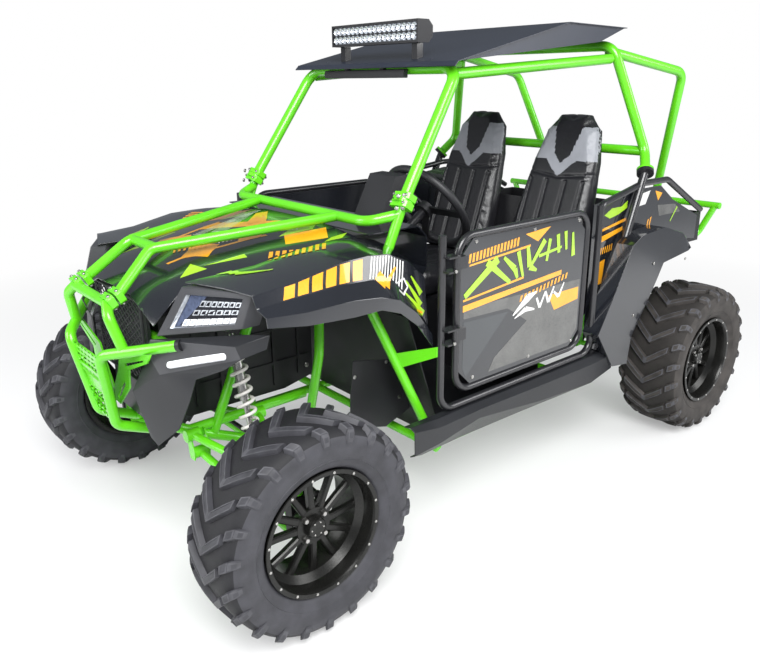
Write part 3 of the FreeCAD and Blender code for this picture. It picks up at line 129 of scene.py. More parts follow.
def make_materials(paint):
    """Every finish by name, with the paints' colours from the settings."""
    coat = {"Coat_Weight": 1.0, "Coat_Roughness": 0.06}
    return {
        "lime": finish("lime powder coat", paint.frame, 0.3, 0.0012, 0.3, 0.00006, 0.82,
                       Coat_Weight=0.5, Coat_Roughness=0.15),
        "black_paint": finish("satin black paint", paint.doors, 0.2, 0.0012, 0.3, 0.00006, 1.5,
                              Coat_Weight=0.4, Coat_Roughness=0.2),
        # The roof's blue tint is painted sky reflection on a dark sheet.
        "roof_with_painted_sky": finish("dark roof sheet with painted sky", paint.roof, 0.3, 0.0012, 0.38, 0.00006, 1.2),
        "gloss_black": finish("gloss black panel", paint.panels, 0.3, 0.002, 0.2, 0.00003, 1.5, **coat),
        "grey_plastic": finish("grey moulded plastic", (0.016, 0.017, 0.02), 0.15, 0.0009, 0.4, 0.0001, 0.8),
        "black_plastic": finish("black moulded plastic", (0.01, 0.01, 0.012), 0.15, 0.0009, 0.5, 0.00015, 1.4),
        "tyre": finish("tyre rubber", (0.026, 0.026, 0.031), 0.05, 0.0015, 0.6, 0.0002, 1.6),
        # The groove finishes are darker than the rubber round them: painted shade on the floors between the lugs. The
        # rear one is dusty as well.
        "tyre_groove_painted_shade": finish("painted shade tyre groove", (0.007, 0.007, 0.009), 0.05, 0.0015, 0.7, 0.0002, 1.3),
        "dusty_groove_painted_shade": finish("dusty painted shade tyre groove", (0.022, 0.019, 0.017), 0.05, 0.0015, 0.8, 0.0002, 0.7),
        # A lighter rubber for the band round each lug's top: a painted highlight on the lug edges.
        "lug_edge_painted_highlight": finish("lug edge painted highlight", (0.07, 0.07, 0.08), 0.03, 0.0012, 0.62, 0.0002, 0.6),
        "dusty_tyre": finish("dusty tyre rubber", (0.05, 0.044, 0.04), 0.06, 0.0015, 0.75, 0.0002, 0.5),
        "rim": finish("satin black rim", paint.rims, 0.1, 0.0012, 0.28, 0.00005, 1.5, Metallic=0.5),
        "steel": finish("zinc plated steel", (0.5, 0.49, 0.47), 0.04, 0.001, 0.3, 0.00006, 0.8, Metallic=1.0),
        "cast_metal": finish("cast metal", (0.05, 0.05, 0.05), 0.06, 0.0014, 0.55, 0.0003, 0.7, Metallic=0.7),
        "white_spring": finish("white spring coat", (0.72, 0.7, 0.66), 0.05, 0.001, 0.35, 0.00005, 0.85),
        "leather": finish("seat leather", paint.seats, 0.08, 0.0016, 0.33, 0.0002, 0.8),
        "pale_leather": finish("pale grey leather", paint.seat_heads, 0.06, 0.0016, 0.45, 0.0002, 0.85),
        "mirror": finish("mirror glass", (0.6, 0.62, 0.64), 0.2, 0.01, 0.08, 0.00001, 0.95, 0.02, Metallic=1.0),
        "lamp_white": finish("lamp reflector", (0.8, 0.84, 0.9), 0.01, 0.002, 0.15, 0.00002, 0.7, 0.04, Metallic=0.6),
        "lamp_glow": finish("frosted light strip", (0.9, 0.92, 0.95), 0.02, 0.002, 0.3, 0.00002, 0.95),
        "lamp_blue": finish("tinted reflector", (0.17, 0.21, 0.34), 0.01, 0.002, 0.2, 0.00002, 0.6, 0.04, Metallic=0.6),
        "lamp_dark": finish("dark lamp module", (0.03, 0.032, 0.04), 0.02, 0.002, 0.12, 0.00002, 0.7, 0.04,
                            Metallic=0.8),
        "bezel": finish("lit grey bezel", (0.055, 0.056, 0.062), 0.1, 0.0009, 0.35, 0.0001, 0.8),
        "print_lime": finish("lime print", paint.print_lime, 0.05, 0.002, 0.3, 0.00002, 0.85, **coat),
        "print_orange": finish("orange print", paint.print_orange, 0.05, 0.002, 0.3, 0.00002, 0.9, **coat),
        "print_white": finish("white print", (0.72, 0.72, 0.7), 0.05, 0.002, 0.3, 0.00002, 0.9, **coat),
        "print_grey": finish("grey print", (0.1, 0.1, 0.095), 0.05, 0.002, 0.3, 0.00002, 0.7, **coat),
        "window": finish("dark glazing", (0.03, 0.035, 0.04), 0.2, 0.004, 0.08, 0.00002, 0.8, 0.02, **coat),
    }


SLOT_FINISHES = {
    "lime_paint": "lime",
    "black_paint": "black_paint",
    "gloss_black": "gloss_black",
    "grey_plastic": "grey_plastic",
    "black_plastic": "black_plastic",
    "tyre_rubber": "tyre",
    "rim_paint": "rim",
    "steel": "steel",
    "cast_metal": "cast_metal",
    "white_spring": "white_spring",
    "seat_leather": "leather",
    "mirror_glass": "mirror",
}
NODE_FINISHES = {"roof": "roof_with_painted_sky", "light_bar_brackets": "black_paint", "steering_rack": "cast_metal"}
materials = {}


# Forms

def add_grid(form, rows, slot=0, closed=False):
    """Faces between rows of points; closed joins each row's end to its start."""
    lines = [[form.verts.new(p) for p in row] for row in rows]
    count = len(lines[0])
    for first, second in zip(lines, lines[1:]):
        for i in range(count if closed else count - 1):
            j = (i + 1) % count
            face = form.faces.new((first[i], first[j], second[j], second[i]))
            face.material_index = slot
    return lines


def add_face(form, points, slot=0):
    face = form.faces.new([form.verts.new(p) for p in points])
    face.material_index = slot


def add_prism(form, ring, depth, slot=0):
    """The ring of points pushed along a vector and closed at both ends."""
    far = [Vector(p) + Vector(depth) for p in ring]
    add_grid(form, [ring, far], slot, True)
    add_face(form, ring, slot)
    add_face(form, far[::-1], slot)


def add_block(form, low, high, slot=0):
    (x0, y0, z0), (x1, y1, z1) = low, high
    add_prism(form, [(x0, y0, z0), (x1, y0, z0), (x1, y1, z0), (x0, y1, z0)], (0, 0, z1 - z0), slot)


def add_lathe(form, place, profile, steps, slot=0):
    """A (y, radius) profile turned about a line along Y."""
    rows = []
    for along, above in circle(steps):
        rows.append([Vector(place) + Vector((r * along, y, r * above)) for y, r in profile])
    add_grid(form, rows + rows[:1], slot)


def bent_line(points, bend, steps=6):
    """The path with each corner rounded to about the bend radius."""
    points = [Vector(p) for p in points]
    line = [points[0]]
    for before, corner, after in zip(points, points[1:], points[2:]):
        to_before = (before - corner).normalized()
        to_after = (after - corner).normalized()
        half = to_before.angle(to_after) / 2
        reach = min(bend / math.tan(half), 0.45 * (before - corner).length, 0.45 * (after - corner).length)
        start, end = corner + to_before * reach, corner + to_after * reach
        for i in range(steps + 1):
            t = i / steps
            line.append(start * (1 - t) ** 2 + corner * 2 * t * (1 - t) + end * t * t)
    return line + [points[-1]]


def add_tube(form, points, radius, bend=0.05, sides=20, slot=0):
    """A round bar along a bent path, closed at both ends."""
    line = bent_line(points, bend) if len(points) > 2 else [Vector(p) for p in points]
    rows = []
    side = None
    for i, point in enumerate(line):
        ahead = line[min(i + 1, len(line) - 1)] - line[max(i - 1, 0)]
        run = ahead.normalized()
        if side is None:
            side = run.orthogonal().normalized()
        side = (side - run * side.dot(run)).normalized()
        up = run.cross(side)
        rows.append([
            point + side * radius * along + up * radius * above for along, above in circle(sides)
        ])
    add_grid(form, rows, slot, True)
    add_face(form, rows[0], slot)
    add_face(form, rows[-1][::-1], slot)


def add_bolt(form, place, normal, radius, height, slot=0, sides=6, dome=0.35):
    """A headed bolt on a surface: a many sided head with a smaller, domed top."""
    normal = Vector(normal).normalized()
    side = normal.orthogonal().normalized()
    up = normal.cross(side)
    rows = []
    for reach, share in ((-height * 0.2, 1.0), (height * (1 - dome), 1.0), (height, 0.7), (height * 1.02, 0.05)):
        rows.append([
            Vector(place) + normal * reach + (side * along + up * above) * radius * share
            for along, above in circle(sides)
        ])
    add_grid(form, rows, slot, True)


def mirror_form(form):
    """Adds the same shapes on the other side of the vehicle."""
    found = bmesh.ops.duplicate(form, geom=form.verts[:] + form.edges[:] + form.faces[:])["geom"]
    for part in found:
        if isinstance(part, bmesh.types.BMVert):
            part.co.y = -part.co.y
    bmesh.ops.reverse_faces(form, faces=[part for part in found if isinstance(part, bmesh.types.BMFace)])


def make_piece(
    name, form, finishes, body="chassis", stands_for=(), crease=32, wall=0.0, bevel=0.0, open_form=False,
):
    """Turns the form into a named piece that rides on a body."""
    bmesh.ops.remove_doubles(form, verts=form.verts[:], dist=0.00002)
    if not open_form:
        bmesh.ops.recalc_face_normals(form, faces=form.faces[:])
    limit = math.radians(crease)
    for edge in form.edges:
        edge.smooth = len(edge.link_faces) == 2 and edge.calc_face_angle(0.0) < limit
    for face in form.faces:
        face.smooth = True
    mesh = bpy.data.meshes.new(name)
    form.to_mesh(mesh)
    form.free()
    piece = bpy.data.objects.new(name, mesh)
    bpy.context.scene.collection.objects.link(piece)
    for key in finishes:
        mesh.materials.append(materials[key])
    if wall:
        solid = piece.modifiers.new("wall", "SOLIDIFY")
        solid.thickness = wall
        solid.offset = -1.0
    if bevel:
        rounding = piece.modifiers.new("rounding", "BEVEL")
        rounding.width = bevel
        rounding.segments = 2
        rounding.limit_method = "ANGLE"
        rounding.angle_limit = limit
    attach(piece, body)
    if stands_for:
        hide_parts(*stands_for)
    return piece


def between(low, high, share):
    return low + share * (high - low)


def windshield_foot(side):
    """Where a windshield pillar is clamped to its leg, and the pillar's direction up from there."""
    foot = Vector((0.462, side * 0.454, 1.161))
    return foot, (Vector((0.186, side * 0.416, 1.567)) - foot).normalized()


def circle(count):
    """The cosine and sine of each step round a circle."""
    return [(math.cos(2 * math.pi * k / count), math.sin(2 * math.pi * k / count)) for k in range(count)]


# Wheels

WHEELS = (
    ("front_left", 1.033, 0.668, 0.226, 0.098), ("front_right", 1.033, -0.668, 0.226, 0.098),
    ("rear_left", -1.033, 0.699, 0.270, 0.122), ("rear_right", -1.033, -0.699, 0.270, 0.122),
)
AXLE_Z = 0.33
# Carcass faces out past this radius, the floors between the lugs, take the darker groove finish: painted shade.
GROOVE_SHADE_RADIUS = 0.285
# The carcass from the tread's middle to the bead: shares of the tyre's half width, and radii
CARCASS = (
    (0.0, 0.3140), (0.4, 0.3136), (0.66, 0.3118), (0.84, 0.3050), (0.94, 0.2930), (0.99, 0.2760), (1.0, 0.2600),
    (0.985, 0.2480), (0.985, 0.2460), (0.965, 0.2360), (0.945, 0.2270), (0.955, 0.2255), (0.935, 0.2225),
    (0.90, 0.2120), (0.85, 0.2010), (0.79, 0.1935),
)
# Lugs as stations: share of the half width, lead in pitches, half length in pitches, top and foot radius
CHEVRON = (
    (0.0, 0.0, 0.15, 0.3298, 0.312), (0.06, 0.065, 0.15, 0.3298, 0.312), (0.20, 0.22, 0.155, 0.3297, 0.312),
    (0.36, 0.40, 0.16, 0.3296, 0.311), (0.52, 0.58, 0.16, 0.3284, 0.309), (0.62, 0.70, 0.155, 0.3272, 0.308),
    (0.66, 0.745, 0.15, 0.3266, 0.307),
)
SHOULDER = (
    (0.76, 0.88, 0.155, 0.3235, 0.302), (0.79, 0.905, 0.16, 0.3224, 0.300), (0.86, 0.97, 0.165, 0.3180, 0.294),
    (0.90, 1.01, 0.165, 0.3145, 0.288), (0.93, 1.03, 0.16, 0.3120, 0.284),
)
SIDE_KNOB = (
    (0.935, 1.035, 0.14, 0.3110, 0.290), (0.985, 1.045, 0.13, 0.3030, 0.282), (1.0, 1.05, 0.115, 0.2880, 0.276),
    (1.0, 1.05, 0.10, 0.2760, 0.268),
)


def tyre_spot(place, y, radius, turn, lugs):
    """A place on the tyre, turned by a number of lug pitches."""
    angle = 2 * math.pi * (turn + 0.5) / lugs
    return Vector(place) + Vector((radius * math.cos(angle), y, radius * math.sin(angle)))


def add_lug(form, place, stations, half, turn, side, lugs):
    """One lug with a thin lighter band of painted highlight round its top, and a sunk middle."""
    rows = []
    last = len(stations) - 1
    for i, (share, lead, spread, top, foot) in enumerate(stations):
        sunk = top if i in (0, 1, last - 1, last) else top - 0.002
        across = (
            (-1.25, foot), (-0.92, top - 0.001), (-0.86, top), (-0.62, top), (-0.56, sunk), (0.56, sunk),
            (0.62, top), (0.86, top), (0.92, top - 0.001), (1.25, foot),
        )
        rows.append([
            tyre_spot(place, side * share * half, radius, turn + lead + spread * u, lugs) for u, radius in across
        ])
    lines = [[form.verts.new(p) for p in row] for row in rows]
    for i, (first, second) in enumerate(zip(lines, lines[1:])):
        for k in range(len(first) - 1):
            face = form.faces.new((first[k], first[k + 1], second[k + 1], second[k]))
            # The band round the top, and the ends of the sunk middle, take the lighter finish: painted highlight on the
            # lug edges.
            face.material_index = 1 if k in (1, 2, 6, 7) or i in (0, last - 1) and 2 < k < 6 else 0
    for line in (lines[0], lines[-1]):
        form.faces.new(line)


def tyre_form(place, width, offset, side, lugs):
    """A tyre with chevrons, shoulder blocks, side knobs and ribbed sidewalls."""
    form = bmesh.new()
    half = width / 2
    bead = offset - 0.0095
    outer = [(side * share * half, radius) for share, radius in CARCASS[:-1]] + [(side * bead, 0.1935)]
    inner = [(-y, radius) for y, radius in reversed(outer)]
    add_lathe(form, place, inner + outer[1:] + [(side * (bead - 0.024), 0.1805)], lugs * 6)
    # Painted shade: faces out past the radius take the darker groove finish.
    for face in form.faces:
        middle = face.calc_center_median() - Vector(place)
        if math.hypot(middle.x, middle.z) > GROOVE_SHADE_RADIUS:
            face.material_index = 2
    for turn in range(lugs):
        for hand in (-1, 1):
            for stations in (CHEVRON, SHOULDER, SIDE_KNOB):
                add_lug(form, place, stations, half, turn, hand, lugs)
    return form


def rim_form(place, offset, side, settings):
    """A deep rim: rolled lip with rivets, barrel, paired spokes, hub cap and lug nuts."""
    form = bmesh.new()
    face_y = offset - 0.062
    profile = [
        (offset - 0.004, 0.1795), (offset - 0.006, 0.1905), (offset - 0.003, 0.1925), (offset, 0.1915),
        (offset + 0.0005, 0.1885), (offset - 0.001, 0.1790), (offset - 0.006, 0.1765), (offset - 0.010, 0.1745),
        (offset - 0.046, 0.1725), (offset - 0.058, 0.1600), (face_y - 0.002, 0.1535), (face_y - 0.016, 0.1515),
        (-offset * 0.33, 0.150), (-offset * 0.5, 0.1735), (-offset + 0.006, 0.1745), (-offset, 0.186),
        (-offset, 0.1925), (-offset + 0.006, 0.1925), (-offset + 0.009, 0.180), (-offset * 0.45, 0.1795),
        (-offset * 0.28, 0.1555), (face_y - 0.004, 0.1555), (face_y + 0.006, 0.1795), (offset - 0.004, 0.1795),
    ]
    add_lathe(form, place, [(side * y, r) for y, r in profile], 96)
    centre = Vector(place)

    def spot(y, radius, angle, shift=0.0):
        return centre + Vector((
            radius * math.cos(angle) - shift * math.sin(angle), side * y,
            radius * math.sin(angle) + shift * math.cos(angle),
        ))

    for i in range(settings.spoke_pairs):
        for hand in (-1, 1):
            angle = 2 * math.pi * i / settings.spoke_pairs + 0.26
            rows = []
            for radius, spread, thick, rise in (
                (0.040, 0.012, 0.011, 0.004), (0.060, 0.0155, 0.011, 0.004), (0.110, 0.028, 0.0105, -0.001),
                (0.140, 0.037, 0.011, -0.003), (0.1535, 0.042, 0.013, -0.004),
            ):
                top = face_y + rise
                middle = hand * spread
                rows.append([spot(y, radius, angle, middle + shift) for y, shift in (
                    (top - 0.018, -thick), (top - 0.004, -thick), (top, -thick + 0.004), (top, thick - 0.004),
                    (top - 0.004, thick), (top - 0.018, thick),
                )])
            add_grid(form, rows, 0, True)
    hub = [
        (face_y - 0.06, 0.030), (face_y - 0.02, 0.052), (face_y + 0.001, 0.058), (face_y + 0.005, 0.056),
        (face_y + 0.005, 0.034), (face_y + 0.014, 0.033), (face_y + 0.024, 0.028), (face_y + 0.026, 0.024),
        (face_y + 0.0245, 0.016), (face_y + 0.0245, 0.001),
    ]
    add_lathe(form, place, [(side * y, r) for y, r in hub], 48)
    out = (0, side, 0)
    for i in range(4):
        add_bolt(form, spot(face_y + 0.004, 0.044, 2 * math.pi * (i + 0.5) / 4), out, settings.nut_radius, 0.014, 1)
    for i in range(6):
        add_bolt(form, spot(face_y + 0.024, 0.020, 2 * math.pi * i / 6), out, 0.0028, 0.0022, 1)
    for i in range(settings.rivets):
        turn = 2 * math.pi * (i + 0.5) / settings.rivets
        add_bolt(form, spot(offset - 0.0008, 0.1842, turn), out, 0.0042, 0.003, 1, 10)
    return form


def oriented(form, direction):
    """Makes an open panel's faces agree and look along a direction."""
    bmesh.ops.remove_doubles(form, verts=form.verts[:], dist=0.00002)
    bmesh.ops.recalc_face_normals(form, faces=form.faces[:])
    total = sum((face.normal * face.calc_area() for face in form.faces), Vector())
    if total.dot(Vector(direction)) < 0:
        bmesh.ops.reverse_faces(form, faces=form.faces[:])


# Panels. Each share is of the panel's box, from its low to its high end.

HOOD_SECTION = ((-1.0, 1.0), (-0.75, 0.55), (-0.45, 0.05), (0.0, 0.0), (0.45, 0.05), (0.75, 0.55), (1.0, 1.0))
HOOD_STATIONS = (
    (0.0, 1.0, 1.0, 0.38), (0.38, 0.88, 0.79, 0.38), (0.68, 0.83, 0.57, 0.46), (0.88, 0.79, 0.29, 0.31),
    (1.0, 0.74, 0.0, 1.0),
)
FENDER_STATIONS = (
    (0.0, ((0.36, 0.81), (0.50, 0.78), (0.78, 0.65), (0.85, 0.20), (0.92, 0.13), (0.94, 0.0))),
    (0.10, ((0.22, 0.95), (0.43, 0.93), (0.78, 0.83), (0.85, 0.47), (0.94, 0.38), (0.95, 0.26))),
    (0.21, ((0.14, 1.0), (0.42, 0.99), (0.78, 0.93), (0.84, 0.70), (0.97, 0.55), (0.98, 0.43))),
    (0.32, ((0.09, 0.99), (0.42, 1.0), (0.78, 0.95), (0.84, 0.75), (0.99, 0.62), (1.0, 0.51))),
    (0.46, ((0.05, 0.95), (0.43, 0.97), (0.78, 0.94), (0.84, 0.76), (0.99, 0.65), (1.0, 0.51))),
    (0.68, ((0.0, 0.87), (0.50, 0.88), (0.77, 0.85), (0.83, 0.74), (0.96, 0.64), (0.97, 0.53))),
    (0.85, ((0.0, 0.85), (0.50, 0.85), (0.785, 0.82), (0.83, 0.72), (0.93, 0.66), (0.94, 0.58))),
    (1.0, ((0.0, 0.84), (0.43, 0.83), (0.76, 0.82), (0.82, 0.70), (0.92, 0.64), (0.93, 0.55))),
)
FASCIA_CORNERS = {
    "a": (0.0, 1.0, 1.0), "b": (0.05, 1.0, 0.90), "c": (0.17, 0.85, 0.99), "d": (0.32, 0.87, 0.925),
    "e": (0.285, 0.90, 0.83), "f": (0.84, 0.31, 0.63), "g": (0.605, 0.59, 0.64), "h": (0.65, 0.51, 0.44),
    "i": (0.74, 0.41, 0.20), "j": (0.87, 0.18, 0.0), "k": (0.90, 0.10, 0.05), "l": (1.0, 0.0, 0.43),
    "m": (0.88, 0.08, 0.64), "n": (0.86, 0.13, 0.77), "o": (0.885, 0.28, 0.91), "p": (0.395, 0.77, 0.73),
    "q": (0.84, 0.28, 0.76),
}
FASCIA_FACETS = (
    "dco", "qdo", "dac", "eba", "dea", "edq", "feq", "qon", "fqn", "mfn", "pef", "gpf", "hgf", "lhf", "mlf", "ihl",
    "jil", "kjl",
)
ROCKER_STATIONS = (
    (1.0, ((0.40, 1.0), (0.72, 1.04), (0.94, 0.97), (0.96, 0.45), (0.72, 0.37))),
    (0.90, ((0.40, 1.0), (0.72, 1.0), (0.98, 0.87), (0.96, 0.50), (0.0, 0.0))),
    (0.73, ((0.40, 1.0), (0.72, 1.0), (0.98, 0.90), (0.96, 0.70), (0.0, 0.03))),
    (0.42, ((0.40, 1.0), (0.72, 1.0), (1.0, 0.87), (0.96, 0.46), (0.0, 0.0))),
    (0.14, ((0.40, 1.0), (0.72, 1.0), (1.0, 0.87), (0.96, 0.35), (0.0, 0.0))),
    (0.0, ((0.40, 1.0), (0.72, 1.0), (0.96, 0.90), (0.83, 0.47), (0.0, 0.19))),
)
REAR_LIP = (
    (0.68, 0.0), (0.66, 0.21), (0.51, 0.45), (0.42, 0.60), (0.35, 0.73), (0.19, 0.75), (0.04, 0.77), (0.01, 0.79),
)
REAR_CREST = (
    (0.81, 0.01), (1.0, 0.31), (0.85, 0.60), (0.70, 0.92), (0.60, 0.98), (0.34, 1.0), (0.10, 0.92), (0.0, 0.82),
)


def hood_half(x):
    """The hood's half width at a place along it."""
    share = (x - 0.600) / 0.662
    for (a, half_a, _, _), (b, half_b, _, _) in zip(HOOD_STATIONS, HOOD_STATIONS[1:]):
        if share <= b:
            return 0.380 * between(half_a, half_b, (share - a) / (b - a))
    return 0.380 * HOOD_STATIONS[-1][1]


def hood_form():
    form = bmesh.new()
    rows = []
    for share, half, height, drop in HOOD_STATIONS:
        top = between(0.935, 1.075, height)
        rows.append([
            (between(0.600, 1.262, share), sy * half * 0.380, top - 0.065 * drop * sd) for sy, sd in HOOD_SECTION
        ])
    add_grid(form, rows)
    oriented(form, (0, 0, 1))
    return form


def fender_form():
    """The left fender's skin, cut back at the hood's edge and ahead of the lamp's line."""
    form = bmesh.new()
    rows = []
    for share, points in FENDER_STATIONS:
        x = between(0.470, 1.190, share)
        rows.append([(x, between(0.335, 0.624, sy), between(0.700, 1.052, sz)) for sy, sz in points])
    add_grid(form, rows)
    bmesh.ops.bisect_plane(
        form, geom=form.verts[:] + form.edges[:] + form.faces[:], plane_co=(1.190, 0.300, 0),
        plane_no=Vector((0.340, 0.119, 0)).normalized(), clear_outer=True,
    )
    for vert in form.verts:
        if vert.co.x > 0.600:
            limit = hood_half(vert.co.x) + 0.003
            if vert.co.y < limit:
                vert.co.y = limit
    oriented(form, (0, 1, 1))
    return form


def faceted_form(corners, facets, direction, lit=()):
    form = bmesh.new()
    verts = {name: form.verts.new(place) for name, place in corners.items()}
    for facet in facets:
        form.faces.new([verts[name] for name in facet]).material_index = 1 if facet in lit else 0
    oriented(form, direction)
    return form


def fascia_corner(name):
    a, b, c = FASCIA_CORNERS[name]
    return Vector((between(1.050, 1.303, a), between(0.170, 0.560, b), between(0.479, 0.867, c)))


def rocker_form():
    form = bmesh.new()
    rows = []
    for share, points in ROCKER_STATIONS:
        x = between(-0.530, 0.600, share)
        rows.append([(x, between(0.572, 0.666, sy), between(0.300, 0.4607, sz)) for sy, sz in points])
    add_grid(form, rows)
    oriented(form, (0, 1, 0))
    return form


def rear_fender_form():
    form = bmesh.new()
    rows = []
    for shares, y in ((REAR_LIP, 0.690), (REAR_CREST, 0.675), (REAR_CREST, 0.600)):
        rows.append([
            (between(-1.023, -0.374, sx), y, max(between(0.392, 0.940, sz), 0.392)) for sx, sz in shares
        ])
    add_grid(form, rows)
    oriented(form, (0, 1, 0.3))
    return form


# Headlights

LAMP_CORNERS = ((1.265, 0.300, 0.845), (1.198, 0.350, 0.988), (1.091, 0.550, 0.988), (1.100, 0.500, 0.880))


def lamp_spot(u, v, depth=0.0):
    """A place on the headlight's face: u from its inner to its outer edge, v from its low to its top edge."""
    inner_low, inner_top, outer_top, outer_low = [Vector(c) for c in LAMP_CORNERS]
    low = inner_low.lerp(outer_low, u)
    top = inner_top.lerp(outer_top, u)
    return low.lerp(top, v) - Vector((depth, 0, 0))


def lamp_ring(inset_u, inset_v, depth):
    return [
        lamp_spot(inset_u, inset_v, depth), lamp_spot(1 - inset_u, inset_v, depth),
        lamp_spot(1 - inset_u, 1 - inset_v, depth), lamp_spot(inset_u, 1 - inset_v, depth),
    ]


def headlight_form():
    """The left bezel with its recess, light ring, two rows of dark modules and a bright row."""
    form = bmesh.new()
    rings = [
        lamp_ring(0.0, 0.0, 0.055), lamp_ring(0.0, 0.0, 0.003), lamp_ring(0.012, 0.015, 0.0),
        lamp_ring(0.10, 0.13, -0.001), lamp_ring(0.115, 0.15, 0.003), lamp_ring(0.12, 0.16, 0.016),
    ]
    add_grid(form, rings[:5], 0, True)
    add_grid(form, rings[4:], 1, True)
    add_face(form, rings[5], 2)
    add_face(form, rings[0], 0)
    blue = [lamp_spot(*uv, 0.0145) for uv in ((0.13, 0.17), (0.19, 0.17), (0.36, 0.83), (0.13, 0.83))]
    add_prism(form, blue, (-0.001, 0, 0), 4)
    for row, (v, tall, slots) in enumerate(((0.67, 0.17, (1, 2)), (0.47, 0.15, (1, 2)), (0.25, 0.18, (3, 1)))):
        count = (7, 6, 8)[row]
        first = (0.33, 0.29, 0.22)[row]
        pitch = (0.87 - first) / count
        for i in range(count):
            u = first + i * pitch
            corners = [
                lamp_spot(u + du * pitch, v + dv * tall, 0.012)
                for du, dv in ((0.08, -0.4), (0.88, -0.4), (0.88, 0.4), (0.08, 0.4))
            ]
            add_prism(form, corners, (0.003, 0, 0), slots[0])
            inner = [
                lamp_spot(u + du * pitch, v + dv * tall, 0.0088)
                for du, dv in ((0.22, -0.22), (0.72, -0.26), (0.66, 0.26), (0.30, 0.18))
            ]
            add_prism(form, inner, (0.0012, 0, 0), slots[1])
    return form


def strip_form():
    """The left light strip: a rounded bar let into the fascia's upper facets."""
    form = bmesh.new()
    q, f, d, e = [fascia_corner(name) for name in "qfde"]
    inner, outer = (q + f) / 2, (d + e) / 2
    start, end = inner.lerp(outer, 0.12), inner.lerp(outer, 0.85)
    run = (end - start).normalized()
    out = (d - q).cross(f - e).normalized()
    if out.x < 0:
        out = -out
    up = out.cross(run)
    rows = []
    for half, rise in ((0.0105, -0.009), (0.0105, 0.0015), (0.009, 0.0035), (0.006, 0.0042)):
        ring = []
        for centre, turn in ((start + run * 0.010, math.pi / 2), (end - run * 0.010, -math.pi / 2)):
            for i in range(9):
                angle = turn + math.pi * i / 8
                ring.append(centre + (run * math.cos(angle) + up * math.sin(angle)) * half + out * rise)
        rows.append(ring)
    add_grid(form, rows, 0, True)
    add_face(form, rows[-1], 0)
    return form


# Prints: flat shapes laid on a panel

def add_print(form, tree, outline, slot, axis, side=1, step=0.012, lift=0.0006):
    """A flat outline laid on the surface below it along an axis, lifted by a hair."""
    flat = bmesh.new()
    flat.faces.new([flat.verts.new((a, b, 0.0)) for a, b in outline])
    for along in (0, 1):
        low = min(point[along] for point in outline)
        high = max(point[along] for point in outline)
        normal = (1, 0, 0) if along == 0 else (0, 1, 0)
        for i in range(1, int((high - low) / step) + 1):
            bmesh.ops.bisect_plane(
                flat, geom=flat.verts[:] + flat.edges[:] + flat.faces[:],
                plane_co=[n * (low + i * step) for n in normal], plane_no=normal,
            )
    placed = {}
    for vert in flat.verts:
        a, b = vert.co.x, vert.co.y
        origin = (a, side * 2.0, b) if axis == "y" else (a, b, 3.0)
        aim = (0, -side, 0) if axis == "y" else (0, 0, -1)
        hit, normal, _, _ = tree.ray_cast(Vector(origin), Vector(aim))
        if hit is not None:
            if normal.dot(Vector(aim)) > 0:
                normal = -normal
            placed[vert] = form.verts.new(hit + normal * lift)
    for face in flat.faces:
        if all(vert in placed for vert in face.verts):
            made = form.faces.new([placed[vert] for vert in face.verts])
            made.material_index = slot
            if made.normal.dot(Vector(aim)) > 0:
                made.normal_flip()
    flat.free()


def surface_tree(*pieces):
    """A ray tree over the pieces' own faces."""
    verts, faces = [], []
    for piece in pieces:
        shift = len(verts)
        verts += [piece.matrix_world @ vert.co for vert in piece.data.vertices]
        faces += [[shift + i for i in face.vertices] for face in piece.data.polygons]
    return BVHTree.FromPolygons(verts, faces)


def slanted_bars(start, end, height, count, fill=0.6, lean=0.0):
    """A row of parallel bars between two places."""
    bars = []
    for i in range(count):
        a = i / count
        b = a + fill / count
        low = tuple(between(start[k], end[k], a) for k in (0, 1))
        high = tuple(between(start[k], end[k], b) for k in (0, 1))
        bars.append([low, high, (high[0] + lean, high[1] + height), (low[0] + lean, low[1] + height)])
    return bars


def stroke(points, widths):
    """Quads along a line of points, each as wide as asked."""
    quads = []
    for (ax, ay), (bx, by), wa, wb in zip(points, points[1:], widths, widths[1:]):
        length = math.hypot(bx - ax, by - ay)
        nx, ny = -(by - ay) / length, (bx - ax) / length
        quads.append([
            (ax + nx * wa / 2, ay + ny * wa / 2), (ax - nx * wa / 2, ay - ny * wa / 2),
            (bx - nx * wb / 2, by - ny * wb / 2), (bx + nx * wb / 2, by + ny * wb / 2),
        ])
    return quads


LIME, ORANGE, WHITE, GREY, GLASS = range(5)
PRINTS = ("print_lime", "print_orange", "print_white", "print_grey", "window")


def band_spot(x, share):
    """A place on the fender's steep band as (x, z), from its low to its high edge."""
    along = (x - 0.470) / 0.720
    for (a, first), (b, second) in zip(FENDER_STATIONS, FENDER_STATIONS[1:]):
        if along <= b:
            t = (along - a) / (b - a)
            low, high = between(first[3][1], second[3][1], t), between(first[2][1], second[2][1], t)
            return x, between(0.700, 1.052, between(low, high, share))


def band_bars(start, end, count, fill, low, high, lean):
    """A row of bars on the fender's band."""
    bars = []
    for i in range(count):
        a, b = between(start, end, i / count), between(start, end, (i + fill) / count)
        bars.append([band_spot(a, low), band_spot(b, low), band_spot(b + lean, high), band_spot(a + lean, high)])
    return bars


